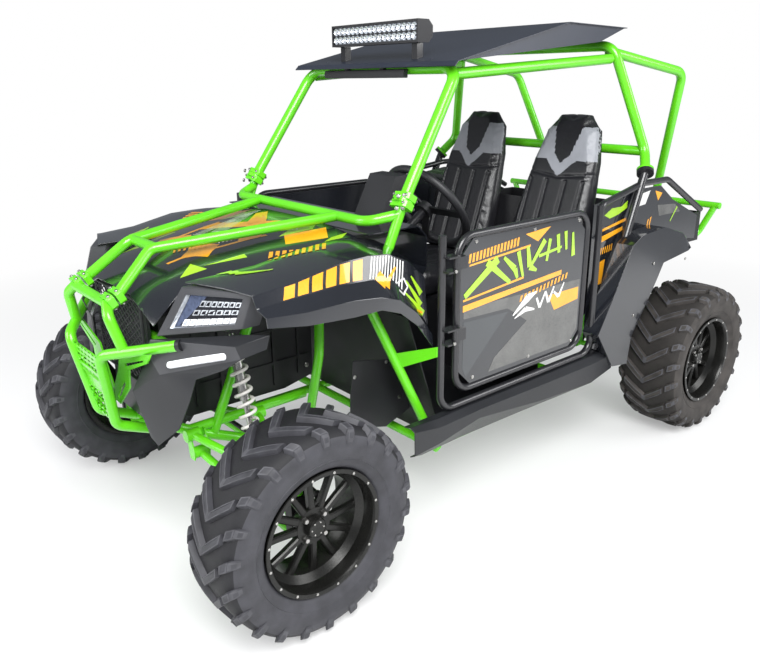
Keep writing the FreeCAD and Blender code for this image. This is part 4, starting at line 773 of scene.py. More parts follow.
def door_prints():
    """(slot, outline) pairs on the left door, as (x, z)."""
    shapes = [
        (GREY, [(0.352, 0.812), (0.352, 0.775), (0.13, 0.768), (0.02, 0.700), (-0.292, 0.640), (-0.292, 0.800)]),
        (GREY, [(0.02, 0.700), (0.19, 0.600), (0.22, 0.553), (-0.25, 0.553), (-0.292, 0.60), (-0.292, 0.640)]),
        (GLASS, [(0.352, 0.765), (0.125, 0.757), (0.335, 0.565), (0.352, 0.60)]),
        (ORANGE, [(0.356, 0.822), (0.356, 0.800), (-0.17, 0.838), (-0.17, 0.856), (-0.02, 0.846)]),
        (ORANGE, [(0.356, 0.842), (0.356, 0.835), (0.05, 0.862), (0.05, 0.870)]),
        (ORANGE, [(-0.10, 0.770), (-0.285, 0.770), (-0.285, 0.722), (-0.14, 0.706)]),
        (ORANGE, [(0.33, 0.957), (0.33, 0.951), (0.02, 0.972), (0.02, 0.980)]),
        (ORANGE, [(0.05, 1.020), (-0.02, 0.985), (-0.09, 1.030)]),
    ]
    shapes += [(ORANGE, bar) for bar in slanted_bars((0.335, 0.962), (0.08, 0.985), 0.030, 15, 0.62, -0.004)]
    shapes += [(ORANGE, bar) for bar in slanted_bars((0.06, 0.800), (-0.22, 0.842), -0.022, 13, 0.5, 0.006)]
    lime = (
        ([(0.350, 0.852), (0.19, 0.955)], (0.020, 0.030)), ([(0.245, 0.952), (0.125, 0.862)], (0.026, 0.016)),
        ([(0.16, 0.955), (0.10, 0.905), (0.085, 0.870)], (0.012, 0.024, 0.012)),
        ([(0.085, 0.965), (0.055, 0.870)], (0.020, 0.012)),
        ([(0.035, 0.975), (0.02, 0.900), (-0.02, 0.880)], (0.016, 0.026, 0.010)),
        ([(-0.06, 0.985), (0.01, 0.905)], (0.024, 0.014)), ([(-0.09, 0.985), (-0.075, 0.905)], (0.018, 0.014)),
        ([(-0.03, 0.930), (-0.16, 0.945)], (0.012, 0.010)), ([(-0.135, 0.995), (-0.145, 0.925)], (0.020, 0.016)),
        ([(-0.18, 1.0), (-0.19, 0.930)], (0.018, 0.012)), ([(-0.225, 0.990), (-0.235, 0.900)], (0.012, 0.022)),
    )
    for points, widths in lime:
        shapes += [(LIME, quad) for quad in stroke(points, widths)]
    white = (
        ([(0.10, 0.735), (0.02, 0.785), (-0.03, 0.800)], (0.006, 0.030, 0.004)),
        ([(0.09, 0.722), (0.03, 0.745), (-0.02, 0.735)], (0.004, 0.020, 0.006)),
        ([(-0.03, 0.775), (-0.05, 0.735), (-0.08, 0.790)], (0.010, 0.012, 0.008)),
        ([(-0.08, 0.790), (-0.10, 0.745), (-0.13, 0.800)], (0.010, 0.014, 0.008)),
        ([(-0.13, 0.780), (-0.16, 0.755), (-0.19, 0.805)], (0.008, 0.014, 0.006)),
    )
    for points, widths in white:
        shapes += [(WHITE, quad) for quad in stroke(points, widths)]
    return shapes


def hood_prints():
    """(slot, outline) pairs on the hood's left half and fender top, as (x, y)."""
    shapes = [
        (LIME, [(1.060, 0.215), (0.935, 0.262), (0.930, 0.235)]),
        (ORANGE, [(0.80, -0.27), (0.67, -0.32), (0.62, -0.24), (0.76, -0.20)]),
        (ORANGE, [(0.78, 0.02), (0.66, 0.14), (0.62, 0.12), (0.72, -0.02)]),
        (ORANGE, [(1.08, -0.10), (0.98, -0.02), (0.94, -0.10), (1.02, -0.17)]),
        (ORANGE, [(0.90, -0.14), (0.70, 0.10), (0.66, 0.06), (0.82, -0.16)]),
        (ORANGE, [(1.12, 0.10), (0.80, 0.165), (0.80, 0.150), (1.12, 0.085)]),
        (LIME, [(1.14, -0.22), (1.08, -0.17), (1.06, -0.24)]),
        (LIME, [(0.78, 0.20), (0.66, 0.22), (0.62, 0.19), (0.72, 0.17)]),
        (LIME, [(0.70, 0.34), (0.64, 0.355), (0.60, 0.33), (0.66, 0.325)]),
    ]
    shapes += [(WHITE, bar) for bar in slanted_bars((0.93, -0.04), (0.66, 0.15), 0.045, 22, 0.3, 0.03)]
    shapes += [(WHITE, bar) for bar in slanted_bars((0.92, 0.06), (0.62, 0.16), 0.030, 24, 0.35, 0.02)]
    shapes += [(ORANGE, bar) for bar in slanted_bars((1.04, -0.02), (0.95, 0.05), 0.05, 7, 0.5, 0.03)]
    shapes += [(ORANGE, bar) for bar in slanted_bars((0.915, 0.345), (0.76, 0.445), -0.060, 9, 0.6, -0.045)]
    lightning = [(1.110, 0.315), (1.035, 0.345), (1.040, 0.372), (0.950, 0.432)]
    shapes += [(LIME, quad) for quad in stroke(lightning, (0.008, 0.032, 0.030, 0.006))]
    return shapes


def fender_prints():
    """(slot, outline) pairs on the left fender's raised band, as (x, z)."""
    shapes = [(ORANGE, bar) for bar in band_bars(1.010, 0.725, 6, 0.76, 0.08, 0.92, -0.014)]
    shapes += [(WHITE, bar) for bar in band_bars(0.710, 0.575, 12, 0.42, 0.05, 0.95, -0.020)]
    shapes += [(ORANGE, quad) for quad in stroke([(0.655, 0.935), (0.60, 0.985)], (0.016, 0.008))]
    shapes += [(ORANGE, [(0.69, 0.965), (0.665, 0.985), (0.64, 0.955), (0.668, 0.935)])]
    loop = [(0.60, 0.935), (0.57, 0.945), (0.555, 0.915), (0.58, 0.895), (0.60, 0.915)]
    shapes += [(WHITE, quad) for quad in stroke(loop, (0.006,) * 5)]
    for start, end in (
        ((0.560, 0.935), (0.500, 0.845)), ((0.535, 0.945), (0.495, 0.880)), ((0.570, 0.900), (0.490, 0.815)),
    ):
        shapes += [(LIME, quad) for quad in stroke([start, end], (0.005, 0.020))]
    shapes.append((ORANGE, [(0.535, 0.835), (0.495, 0.815), (0.495, 0.822), (0.530, 0.842)]))
    return shapes


def side_prints():
    """(slot, outline) pairs on the left rear side panel, as (x, z)."""
    shapes = [
        (LIME, [(-0.50, 1.012), (-0.55, 1.035), (-0.62, 1.035), (-0.66, 1.055), (-0.66, 1.025), (-0.60, 1.005),
                (-0.54, 0.995)]),
        (LIME, [(-0.52, 1.050), (-0.60, 1.065), (-0.64, 1.085), (-0.62, 1.060)]),
        (WHITE, [(-0.745, 1.070), (-0.83, 1.080), (-0.80, 1.025), (-0.735, 1.020)]),
        (ORANGE, [(-0.87, 1.075), (-0.93, 1.060), (-0.90, 1.030)]),
        (ORANGE, [(-0.475, 0.955), (-0.66, 0.985), (-0.66, 0.972), (-0.475, 0.945)]),
        (ORANGE, [(-0.475, 0.925), (-0.64, 0.952), (-0.64, 0.935), (-0.475, 0.900)]),
        (ORANGE, [(-0.455, 0.815), (-0.53, 0.830), (-0.52, 0.730), (-0.455, 0.722)]),
        (GREY, [(-0.90, 1.010), (-1.05, 1.000), (-1.10, 0.960), (-0.92, 0.960)]),
    ]
    shapes += [(ORANGE, bar) for bar in slanted_bars((-0.475, 0.850), (-0.58, 0.862), 0.028, 7, 0.45, -0.004)]
    shapes += [(ORANGE, bar) for bar in slanted_bars((-0.70, 0.865), (-0.86, 0.925), 0.045, 8, 0.5, -0.01)]
    shapes += [(LIME, quad) for quad in stroke([(-1.02, 0.925), (-1.07, 0.985), (-1.14, 0.990)], (0.006, 0.010, 0.004))]
    shapes += [(LIME, bar) for bar in slanted_bars((-1.10, 0.965), (-1.17, 0.960), 0.030, 4, 0.4, -0.004)]
    return shapes


def print_form(tree, shapes, axis, step):
    form = bmesh.new()
    for i, (slot, outline) in enumerate(shapes):
        add_print(form, tree, outline, slot, axis, 1, step, 0.0004 + 0.00002 * i)
    return form


# Fittings

def guard_line(side):
    return [(1.200, side * 0.072, 0.450), (1.330, side * 0.072, 0.506), (1.3725, side * 0.130, 0.765),
            (1.225, side * 0.352, 0.822)]


def guard_form():
    """The bumper's bars, its bracket plates and the tow hook."""
    form = bmesh.new()
    for side in (-1, 1):
        add_tube(form, guard_line(side), 0.0165, 0.045, 24)
        add_tube(form, [(1.331, side * 0.132, 0.9195), (1.345, side * 0.170, 0.890), (1.322, side * 0.200, 0.783)],
                 0.0162, 0.045, 24)
        end = Vector(guard_line(side)[3])
        run = (end - Vector(guard_line(side)[2])).normalized()
        add_tube(form, [end - run * 0.002, end + run * 0.012], 0.0168, 0.01, 24, 1)
    add_tube(form, [(1.331, -0.132, 0.9195), (1.331, 0.132, 0.9195)], 0.0162)
    add_tube(form, [(1.200, -0.072, 0.450), (1.200, 0.072, 0.450)], 0.0165)
    add_block(form, (1.205, -0.006, 0.434), (1.248, 0.006, 0.468))
    add_lathe(form, (1.248, 0, 0.450), [(-0.006, 0.011), (-0.006, 0.019), (0.006, 0.019), (0.006, 0.011),
                                        (-0.006, 0.011)], 24)
    return form


def guard_plate_form():
    """The perforated plate between the bars: staggered slots in two groups."""
    form = bmesh.new()
    low, high = Vector((1.330, 0.072, 0.506)), Vector((1.3725, 0.130, 0.765))

    def spot(share, y):
        p = low.lerp(high, share)
        return Vector((p.x, y, p.z))

    rows = 13
    slot_tall = 0.027
    for row in range(rows + 1):
        start = 0.0 if row == 0 else row / (rows + 1) + slot_tall / 2
        end = 0.94 if row == rows else (row + 1) / (rows + 1) - slot_tall / 2
        half_a, half_b = between(0.072, 0.130, start) - 0.012, between(0.072, 0.130, end) - 0.012
        add_face(form, [spot(start, -half_a), spot(start, half_a), spot(end, half_b), spot(end, -half_b)])
        if row == rows:
            break
        a, b = end, (row + 1) / (rows + 1) + slot_tall / 2
        half = between(0.072, 0.130, a) - 0.012
        plain = abs((row + 1) / (rows + 1) - 0.5) < 0.09
        edges = [-half]
        shift = 0.015 if row % 2 else 0.0
        k = -4
        while k < 5 and not plain:
            middle = k * 0.030 + shift
            if abs(middle) < half - 0.012:
                edges += [middle - 0.010, middle + 0.010]
            k += 1
        edges.append(half)
        for left, right in zip(edges[0::2], edges[1::2]):
            add_face(form, [spot(a, left), spot(a, right), spot(b, right), spot(b, left)])
    return form


def bracket_form():
    """The slotted plates behind the guard."""
    form = bmesh.new()
    outer = ((0.25, 0.71), (1.0, 1.02), (0.90, 0.87), (0.45, 0.61), (0.41, 0.35), (0.12, 0.0), (-0.01, 0.02),
             (-0.01, 0.16), (0.17, 0.50))
    holes = (
        ((0.36, 0.66), (0.84, 0.89), (0.82, 0.86), (0.38, 0.63)),
        ((0.08, 0.10), (0.30, 0.40), (0.33, 0.37), (0.11, 0.07)),
    )
    edges = []
    for ring in (outer,) + holes:
        verts = [form.verts.new((1.298, sy * 0.327, between(0.557, 0.800, sz))) for sy, sz in ring]
        edges += [form.edges.new((a, b)) for a, b in zip(verts, verts[1:] + verts[:1])]
    bmesh.ops.triangle_fill(form, use_beauty=True, edges=edges)
    oriented(form, (1, 0, 0))
    mirror_form(form)
    return form


def grille_form():
    """Expanded metal mesh behind the guard, with a frame, and the dark plate behind it."""
    form = bmesh.new()
    low, high, half, x = 0.645, 0.915, 0.176, 1.252
    count = 30
    for i in range(-count, count):
        for lean in (-1, 1):
            base = low + i * 0.022
            za, zb = [base + (y * lean + half) * 0.62 for y in (-half, half)]
            cuts = [(limit - za) / (zb - za) for limit in (low, high)]
            start, end = max(0.0, min(cuts)), min(1.0, max(cuts))
            if end - start >= 0.02:
                ends = [(x, between(-half, half, share), between(za, zb, share)) for share in (start, end)]
                add_tube(form, ends, 0.0022, 0.01, 5)
    for a, b in (((x, -half, low), (x, half, low)), ((x, -half, high), (x, half, high)),
                 ((x, -half, low), (x, -half, high)), ((x, half, low), (x, half, high))):
        add_tube(form, [a, b], 0.005, 0.01, 10)
    add_block(form, (1.2225, -0.160, 0.490), (1.2325, 0.160, 0.905), 1)
    return form


def front_frame_form():
    """The front rails, raised ahead of the axle, the towers, the cowl legs and the bars behind the nose."""
    form = bmesh.new()
    for side in (-1, 1):
        y = side * 0.185
        tower = (0.700, side * 0.300, 0.862)
        knee = Vector((0.610, side * 0.452, 0.830))
        clamp, pillar = windshield_foot(side)
        add_tube(form, [
            (0.330, y, 0.286), (0.780, y, 0.286), (0.900, y, 0.352), (1.090, y, 0.440), (1.205, y, 0.505),
            (1.205, y, 0.790),
        ], 0.017, 0.06)
        add_tube(form, [(0.700, y, 0.470), (1.150, y, 0.470)], 0.0165)
        add_tube(form, [(0.330, side * 0.520, 0.286), (0.390, side * 0.520, 0.286)], 0.017)
        add_tube(form, [tower, (1.075, side * 0.300, 0.862)], 0.0168)
        add_tube(form, [(1.060, y, 0.430), (0.950, side * 0.300, 0.862)], 0.016)
        add_tube(form, [(0.700, y, 0.286), (0.740, side * 0.345, 0.670), tower], 0.016, 0.06)
        add_tube(form, [(0.390, side * 0.550, 0.286), knee, clamp], 0.0165, 0.07)
        add_tube(form, [knee, tower], 0.016)
        add_tube(form, [clamp - pillar * 0.015, clamp - pillar * 0.001], 0.034, 0.01, 32)
        foot = Vector((0.390, side * 0.550, 0.286))
        ring = [
            foot.lerp(knee, 0.59), foot.lerp(knee, 0.69), (0.4653, side * 0.622, 0.706), (0.4653, side * 0.622, 0.671),
        ]
        add_prism(form, ring, (0.005, 0, 0))
    for x, half, z, radius in (
        (0.858, 0.185, 0.300, 0.016), (0.390, 0.550, 0.286, 0.016), (0.950, 0.300, 0.862, 0.016),
        (1.205, 0.258, 0.790, 0.014), (1.205, 0.185, 0.505, 0.014),
    ):
        add_tube(form, [(x, -half, z), (x, half, z)], radius)
    return form


def lower_arms_form():
    """The front lower arms: tubes to the ball joint, bushes on hangers and the bar under the damper."""
    form = bmesh.new()
    ball = Vector((1.033, 0.6285, 0.246))
    foot_y, foot_z = 0.4499, 0.2636
    add_tube(form, [ball - Vector((0, 0, 0.017)), ball + Vector((0, 0, 0.0165))], 0.017)
    for root, rail_z in ((Vector((0.905, 0.2225, 0.340)), 0.354), (Vector((1.130, 0.2225, 0.405)), 0.463)):
        add_tube(form, [root, ball - (ball - root).normalized() * 0.010], 0.013)
        add_tube(form, [root - Vector((0.023, 0, 0)), root + Vector((0.023, 0, 0))], 0.019, 0.01, 24)
        for x in (root.x - 0.028, root.x + 0.024):
            ring = [(x, 0.196, rail_z + 0.012), (x, 0.196, rail_z - 0.016), (x, 0.208, root.z - 0.020),
                    (x, 0.237, root.z - 0.020), (x, 0.243, root.z + 0.010), (x, 0.215, rail_z + 0.012)]
            add_prism(form, ring, (0.004, 0, 0))
        spot = root.lerp(ball, 0.56)
        add_tube(form, [spot, (spot.x, foot_y, foot_z)], 0.010)
    add_tube(form, [(0.967, foot_y, foot_z), (1.099, foot_y, foot_z)], 0.010)
    mirror_form(form)
    return form


def inner_cover_form():
    """The moulded cover between the front towers, with ribs and bolts on its sides."""
    form = bmesh.new()
    ring = [
        (0.640, 0.520), (0.640, 0.840), (0.900, 0.846), (1.196, 0.850), (1.196, 0.545), (1.120, 0.500), (0.760, 0.495),
    ]
    add_prism(form, [(x, -0.156, z) for x, z in ring], (0, 0.312, 0))
    for x, low, high in ((0.700, 0.540, 0.810), (0.800, 0.520, 0.825), (1.000, 0.520, 0.830), (1.090, 0.525, 0.830)):
        add_block(form, (x - 0.006, 0.150, low), (x + 0.006, 0.163, high))
    for z in (0.600, 0.720):
        add_block(form, (0.660, 0.150, z - 0.005), (1.170, 0.161, z + 0.005))
    for x, z in ((0.665, 0.800), (0.665, 0.560), (1.160, 0.800), (1.160, 0.570), (0.900, 0.815)):
        add_bolt(form, (x, 0.156, z), (0, 1, 0), 0.009, 0.005, 1, 12)
    outer = [face for face in form.faces if all(vert.co.y > 0.149 for vert in face.verts)]
    found = bmesh.ops.duplicate(form, geom=outer)["geom"]
    for part in found:
        if isinstance(part, bmesh.types.BMVert):
            part.co.y = -part.co.y
    return form


def add_clamp(form, start, end, half, thick):
    """A split clamp: two bevelled plates round a line of tube, with four bolts."""
    start, end = Vector(start), Vector(end)
    run = (end - start).normalized()
    side = Vector((0, 1, 0))
    side = (side - run * side.dot(run)).normalized()
    up = run.cross(side)
    cut = thick * 0.35
    for a, b in ((start, start.lerp(end, 0.44)), (start.lerp(end, 0.56), end)):
        ring = [a + side * u + up * v for u, v in (
            (half, thick - cut), (half - cut, thick), (cut - half, thick), (-half, thick - cut),
            (-half, cut - thick), (cut - half, -thick), (half - cut, -thick), (half, cut - thick),
        )]
        add_prism(form, ring, b - a)
        middle = (a + b) / 2
        for u in (-1, 1):
            for v in (-1, 1):
                add_bolt(form, middle + side * u * (half - 0.009) + up * v * thick, up * v, 0.0058, 0.0045, 1, 6)


def clamps_form():
    """The clamps that join the hood's bars to the guard, and those at the foot of the windshield."""
    form = bmesh.new()
    for side in (-1, 1):
        add_clamp(form, (1.288, side * 0.132, 0.941), (1.333, side * 0.132, 0.919), 0.031, 0.0215)
        clamp, pillar = windshield_foot(side)
        add_clamp(form, clamp - pillar * 0.030, clamp + pillar * 0.020, 0.037, 0.025)
    return form


def mirror_bar_form():
    """The slim cabin mirror: a dark shell with its glass at the back and two feet."""
    form = bmesh.new()
    ring = [
        (0.226, 1.538), (0.228, 1.552), (0.224, 1.564), (0.212, 1.566), (0.208, 1.564), (0.208, 1.538), (0.212, 1.536),
    ]
    add_prism(form, [(x, -0.280, z) for x, z in ring], (0, 0.470, 0))
    add_block(form, (0.2066, -0.272, 1.5405), (0.2082, 0.182, 1.5620), 1)
    for y in (-0.15, 0.06):
        add_block(form, (0.205, y - 0.010, 1.5560), (0.220, y + 0.010, 1.5700))
    return form


def binnacle_form():
    """The gauge pod on the dash, with its dial."""
    form = bmesh.new()
    ring = []
    for sx, sz in ((0.5, 0.0), (1.0, 0.0), (0.46, 0.98), (0.08, 1.0), (0.0, 0.62), (0.16, 0.52)):
        ring.append((between(0.318, 0.470, sx), 0.192, between(1.066, 1.222, sz)))
    add_prism(form, ring, (0, 0.140, 0))
    face = Vector((0.3175, 0.262, 1.188))
    for radius, rise, slot in ((0.036, 0.004, 1), (0.030, 0.0045, 2)):
        rows = [
            [face + Vector((-depth, radius * along, radius * above * 0.95)) for along, above in circle(32)]
            for depth in (-0.004, rise)
        ]
        add_grid(form, rows, slot, True)
        add_face(form, rows[1], slot)
    return form


def liner_form():
    """The plates that close the front arches between the toe board and the wheels."""
    form = bmesh.new()

    def toe(z):
        return (between(0.360, 0.530, (z - 0.3033) / 0.4967) + 0.001, 0.400, z)

    ring = [toe(0.600), toe(0.390)]
    for sx, sz in ((0.48, -0.18), (1.0, 0.04), (0.99, 0.60), (0.95, 1.18)):
        ring.append((between(0.360, 0.661, sx), 0.400, between(0.390, 0.600, sz)))
    add_prism(form, ring, (0, 0.004, 0))
    for x, z in ((0.44, 0.45), (0.63, 0.42), (0.64, 0.58), (0.50, 0.60)):
        add_bolt(form, (x, 0.404, z), (0, 1, 0), 0.007, 0.003, 1, 12)
    mirror_form(form)
    return form


def light_bar_form(low, high):
    """The lamp housing with cooling fins, end plates and two rows of bright cells."""
    form = bmesh.new()
    x0, y0, z0 = low
    x1, y1, z1 = high
    add_block(form, (x0 + 0.016, y0 + 0.006, z0 + 0.004), (x1 - 0.014, y1 - 0.006, z1 - 0.004))
    for i in range(30):
        y = between(y0 + 0.012, y1 - 0.012, (i + 0.5) / 30)
        add_block(form, (x0, y - 0.0022, z0 + 0.002), (x1 - 0.024, y + 0.0022, z1 - 0.002))
    for y in (y0, y1 - 0.007):
        ring = [
            (x1, y, z0), (x1, y, z1), (x0 + 0.02, y, z1), (x0, y, z1 - 0.02), (x0, y, z0 + 0.02), (x0 + 0.02, y, z0),
        ]
        add_prism(form, ring, (0, 0.007, 0))
    for za, zb in ((z0, z0 + 0.008), (z1 - 0.008, z1), ((z0 + z1) / 2 - 0.002, (z0 + z1) / 2 + 0.002)):
        add_block(form, (x1 - 0.016, y0 + 0.006, za), (x1 - 0.001, y1 - 0.006, zb))
    count = 18
    pitch = (y1 - y0 - 0.020) / count
    for row in (0, 1):
        zc = z0 + 0.008 + (row + 0.5) * (z1 - z0 - 0.016) / 2
        for i in range(count):
            yc = y0 + 0.010 + (i + 0.5) * pitch
            rows = []
            for depth, radius in ((0.0035, 0.0135), (0.008, 0.0105), (0.0115, 0.0065), (0.0125, 0.0045)):
                rows.append([
                    (x1 - depth, yc + radius * along, zc + radius * above) for along, above in circle(12)
                ])
            add_grid(form, rows, 1, True)
            add_face(form, rows[-1], 2)
            add_block(form, (x1 - 0.0150, yc - pitch / 2, zc - 0.0155), (x1 - 0.0138, yc + pitch / 2, zc + 0.0155), 1)
    return form


def clamp_bolts_form():
    """Bolt heads at the windshield's feet, on the hinges and on the rear fenders."""
    form = bmesh.new()
    spots = []
    for side in (-1, 1):
        for x, z in ((0.502, 1.181), (0.478, 1.181), (0.510, 1.143), (0.484, 1.141)):
            spots.append(((x, side * 0.472, z), (0.7, side * 0.7, 0.2), 0.007, 0.006))
        for z in (0.720, 0.960):
            spots.append(((0.432, side * 0.664, z), (0, side, 0), 0.006, 0.004))
        for x, z in ((-0.60, 0.60), (-0.72, 0.80), (-0.98, 0.78)):
            spots.append(((x, side * 0.687, z), (0, side, 0), 0.006, 0.003))
    for place, normal, radius, height in spots:
        add_bolt(form, place, normal, radius, height, 0, 12)
    return form


def door_bolts_form(side):
    """Bolt heads along the low and the high edge of a door's panel."""
    form = bmesh.new()
    for x in (0.30, 0.0, -0.26):
        for z in (0.556, 1.030):
            add_bolt(form, (x, side * 0.6252, z), (0, side, 0), 0.0065, 0.0035, 0, 12)
    return form


# Seats

# The seat back from its foot up: shares of its height, of its half width and of its thickness
SEAT_BACK = (
    (0.0, 0.95, 1.0), (0.24, 0.93, 0.97), (0.53, 0.84, 0.85), (0.70, 0.78, 0.75), (0.90, 0.62, 0.62),
    (1.0, 0.36, 0.42),
)
SEAT_FOOT_X = -0.462
SEAT_TOP_X = -0.690
SEAT_Y = 0.262
SEAMS = (-0.135, -0.048, 0.048, 0.135)


def rounded_ring(centre, half_x, half_y, corner, steps=6):
    ring = []
    for sx, sy, turn in ((1, 1, 0), (-1, 1, 1), (-1, -1, 2), (1, -1, 3)):
        for i in range(steps + 1):
            angle = math.pi / 2 * (turn + i / steps)
            ring.append((
                centre[0] + sx * (half_x - corner) + corner * math.cos(angle),
                centre[1] + sy * (half_y - corner) + corner * math.sin(angle), centre[2],
            ))
    return ring


def seat_back_form(y, low, high):
    """A bucket back that narrows towards the head."""
    form = bmesh.new()
    rows = []
    for rise, wide, thick in SEAT_BACK:
        half_x = thick * 0.055 - 0.006
        z = between(low + 0.006, high - 0.008, rise)
        centre = (between(SEAT_FOOT_X, SEAT_TOP_X, rise) - half_x - 0.006, y, z)
        rows.append(rounded_ring(centre, half_x, wide * 0.226 - 0.006, half_x * 0.8))
    add_grid(form, rows, 0, True)
    add_face(form, rows[0])
    add_face(form, rows[-1][::-1])
    return form


def cushion_form(y):
    form = bmesh.new()
    rows = []
    for z, inset in ((0.607, 0.022), (0.620, 0.006), (0.66, 0.0), (0.70, 0.002), (0.722, 0.012), (0.732, 0.034)):
        rows.append(rounded_ring((-0.325, y, z), 0.232 - inset, 0.222 - inset, 0.045))
    add_grid(form, rows, 0, True)
    add_face(form, rows[0])
    add_face(form, rows[-1][::-1])
    return form


def remeshed(piece, size):
    """The piece's mesh rebuilt in even cells."""
    voxels = piece.modifiers.new("cells", "REMESH")
    voxels.mode = "VOXEL"
    voxels.voxel_size = size
    voxels.use_smooth_shade = True
    settle(piece)


def settle(piece):
    """Applies the piece's modifiers."""
    shape = bpy.data.meshes.new_from_object(piece.evaluated_get(bpy.context.evaluated_depsgraph_get()))
    shape.materials.clear()
    for material in piece.data.materials:
        shape.materials.append(material)
    piece.modifiers.clear()
    piece.data = shape


def inflate(piece, settings):
    """Blows the cover up as cloth for a few frames, then keeps each point's move within the limit."""
    rest = [vert.co.copy() for vert in piece.data.vertices]
    cloth = piece.modifiers.new("cover", "CLOTH").settings
    cloth.quality = 4
    cloth.mass = 0.3
    cloth.tension_stiffness = 30.0
    cloth.compression_stiffness = 20.0
    cloth.shear_stiffness = 15.0
    cloth.bending_stiffness = 2.0
    cloth.use_pressure = True
    cloth.uniform_pressure_force = settings.pressure
    cloth.effector_weights.gravity = 0.0
    scene = bpy.context.scene
    for frame_number in range(1, settings.frames + 1):
        scene.frame_set(frame_number)
    settle(piece)
    for vert, start in zip(piece.data.vertices, rest):
        move = vert.co - start
        if move.length > settings.travel:
            vert.co = start + move.normalized() * settings.travel
    scene.frame_set(1)


def groove(distance, width, depth):
    """How far a seam sinks the cover at a distance from it."""
    share = abs(distance) / width
    return depth * (1 - share) ** 2 if share < 1 else 0.0


# Settings

def colour_setting(name, description, default):
    return bpy.props.FloatVectorProperty(
        name=name, description=description, default=default, min=0.0, max=1.0, subtype="COLOR",
    )


class UTVPaintSettings(bpy.types.PropertyGroup):
    """Colours of the paints, panels, seats and prints."""

    frame: colour_setting("Frame", "Powder coat of the cage, frame and guard", (0.13, 0.66, 0.012))
    doors: colour_setting("Doors", "Satin paint of the door frames", (0.012, 0.012, 0.014))
    # The default's blue tint is painted reflection of the sky on the dark roof.
    roof: colour_setting("Roof", "Sheet of the roof", (0.018, 0.022, 0.034))
    panels: colour_setting("Panels", "Gloss of the hood, fenders and doors", (0.008, 0.009, 0.012))
    rims: colour_setting("Rims", "Satin paint of the rims", (0.012, 0.012, 0.011))
    seats: colour_setting("Seats", "Leather of the seats", (0.014, 0.014, 0.017))
    seat_heads: colour_setting("Seat heads", "Pale leather on the seats' heads", (0.27, 0.28, 0.31))
    print_lime: colour_setting("Lime print", "Lime shapes on the panels", (0.35, 0.62, 0.02))
    print_orange: colour_setting("Orange print", "Orange shapes on the panels", (0.85, 0.36, 0.01))


class UTVWheelSettings(bpy.types.PropertyGroup):
    """Counts and sizes of the tyres' lugs and of the rims' parts."""

    lugs: bpy.props.IntProperty(name="Lugs", description="Chevrons round each half of a tyre", default=22, min=8)
    spoke_pairs: bpy.props.IntProperty(name="Spoke pairs", description="Pairs of spokes in a rim", default=6, min=3)
    rivets: bpy.props.IntProperty(name="Rivets", description="Rivets round a rim's lip", default=16, min=0)
    nut_radius: bpy.props.FloatProperty(
        name="Nut radius", description="Radius of a wheel nut", default=0.0095, unit="LENGTH",
    )


class UTVCameraSettings(bpy.types.PropertyGroup):
    """Where the photograph was taken from."""

    place: bpy.props.FloatVectorProperty(
        name="Place", description="Camera position", default=(2.0292, 2.1996, 1.5262), subtype="TRANSLATION",
        unit="LENGTH",
    )
    heading: bpy.props.FloatProperty(
        name="Heading", description="Direction of view about the vertical, from forward", default=-2.2802,
        subtype="ANGLE", unit="ROTATION",
    )
    pitch: bpy.props.FloatProperty(
        name="Pitch", description="How far the view tilts down", default=0.3166, subtype="ANGLE", unit="ROTATION",
    )
    roll: bpy.props.FloatProperty(
        name="Roll", description="Turn of the camera about its line of view", default=-0.0064, subtype="ANGLE",
        unit="ROTATION",
    )
    lens: bpy.props.FloatProperty(
        name="Lens", description="Focal length in millimetres on a 36 mm sensor", default=34.51, unit="CAMERA",
    )
    shift: bpy.props.FloatVectorProperty(
        name="Shift", description="Shift of the frame, as shares of its width", size=2, default=(-0.0113, -0.0170),
    )


class UTVStageSettings(bpy.types.PropertyGroup):
    """Floor, world and lamps."""

    floor_radius: bpy.props.FloatProperty(
        name="Floor radius", description="Radius of the floor", default=30.0, unit="LENGTH",
    )
    clear_radius: bpy.props.FloatProperty(
        name="Clear radius", description="Distance at which the floor turns plain white", default=4.5, unit="LENGTH",
    )
    key_power: bpy.props.FloatProperty(
        name="Key lamp", description="Power of the large lamp above the front left", default=420.0, unit="POWER",
    )
    fill_power: bpy.props.FloatProperty(
        name="Fill lamps", description="Power of the two side lamps", default=120.0, unit="POWER",
    )
    sky: bpy.props.FloatProperty(
        name="Sky", description="Strength of the plain sky light", default=0.5,
    )
    reflected_sky: bpy.props.FloatProperty(
        name="Reflected sky", description="Strength of the sky in reflections", default=0.22,
    )


class UTVSeatSettings(bpy.types.PropertyGroup):
    """How the seat covers are blown up."""

    cell: bpy.props.FloatProperty(
        name="Cell", description="Size of the cover's cells", default=0.006, unit="LENGTH",
    )
    pressure: bpy.props.FloatProperty(
        name="Pressure", description="Air pressure under the cover", default=4.0,
    )
    frames: bpy.props.IntProperty(
        name="Frames", description="Frames of simulation", default=20,
    )
    travel: bpy.props.FloatProperty(
        name="Travel", description="Furthest that a point of the cover moves", default=0.010, unit="LENGTH",
    )
    seam_width: bpy.props.FloatProperty(
        name="Seam width", description="Half width of the dip along a seam", default=0.016, unit="LENGTH",
    )
    seam_depth: bpy.props.FloatProperty(
        name="Seam depth", description="Depth of the dip along a seam", default=0.010, unit="LENGTH",
    )


class UTVPrintSettings(bpy.types.PropertyGroup):
    """How the printed shapes lie on the panels."""

    flat_step: bpy.props.FloatProperty(
        name="Flat step", description="Grid of the prints on flat panels", default=0.2, unit="LENGTH",
    )
    curved_step: bpy.props.FloatProperty(
        name="Curved step", description="Grid of the prints on bent panels", default=0.012, unit="LENGTH",
    )


# Operators

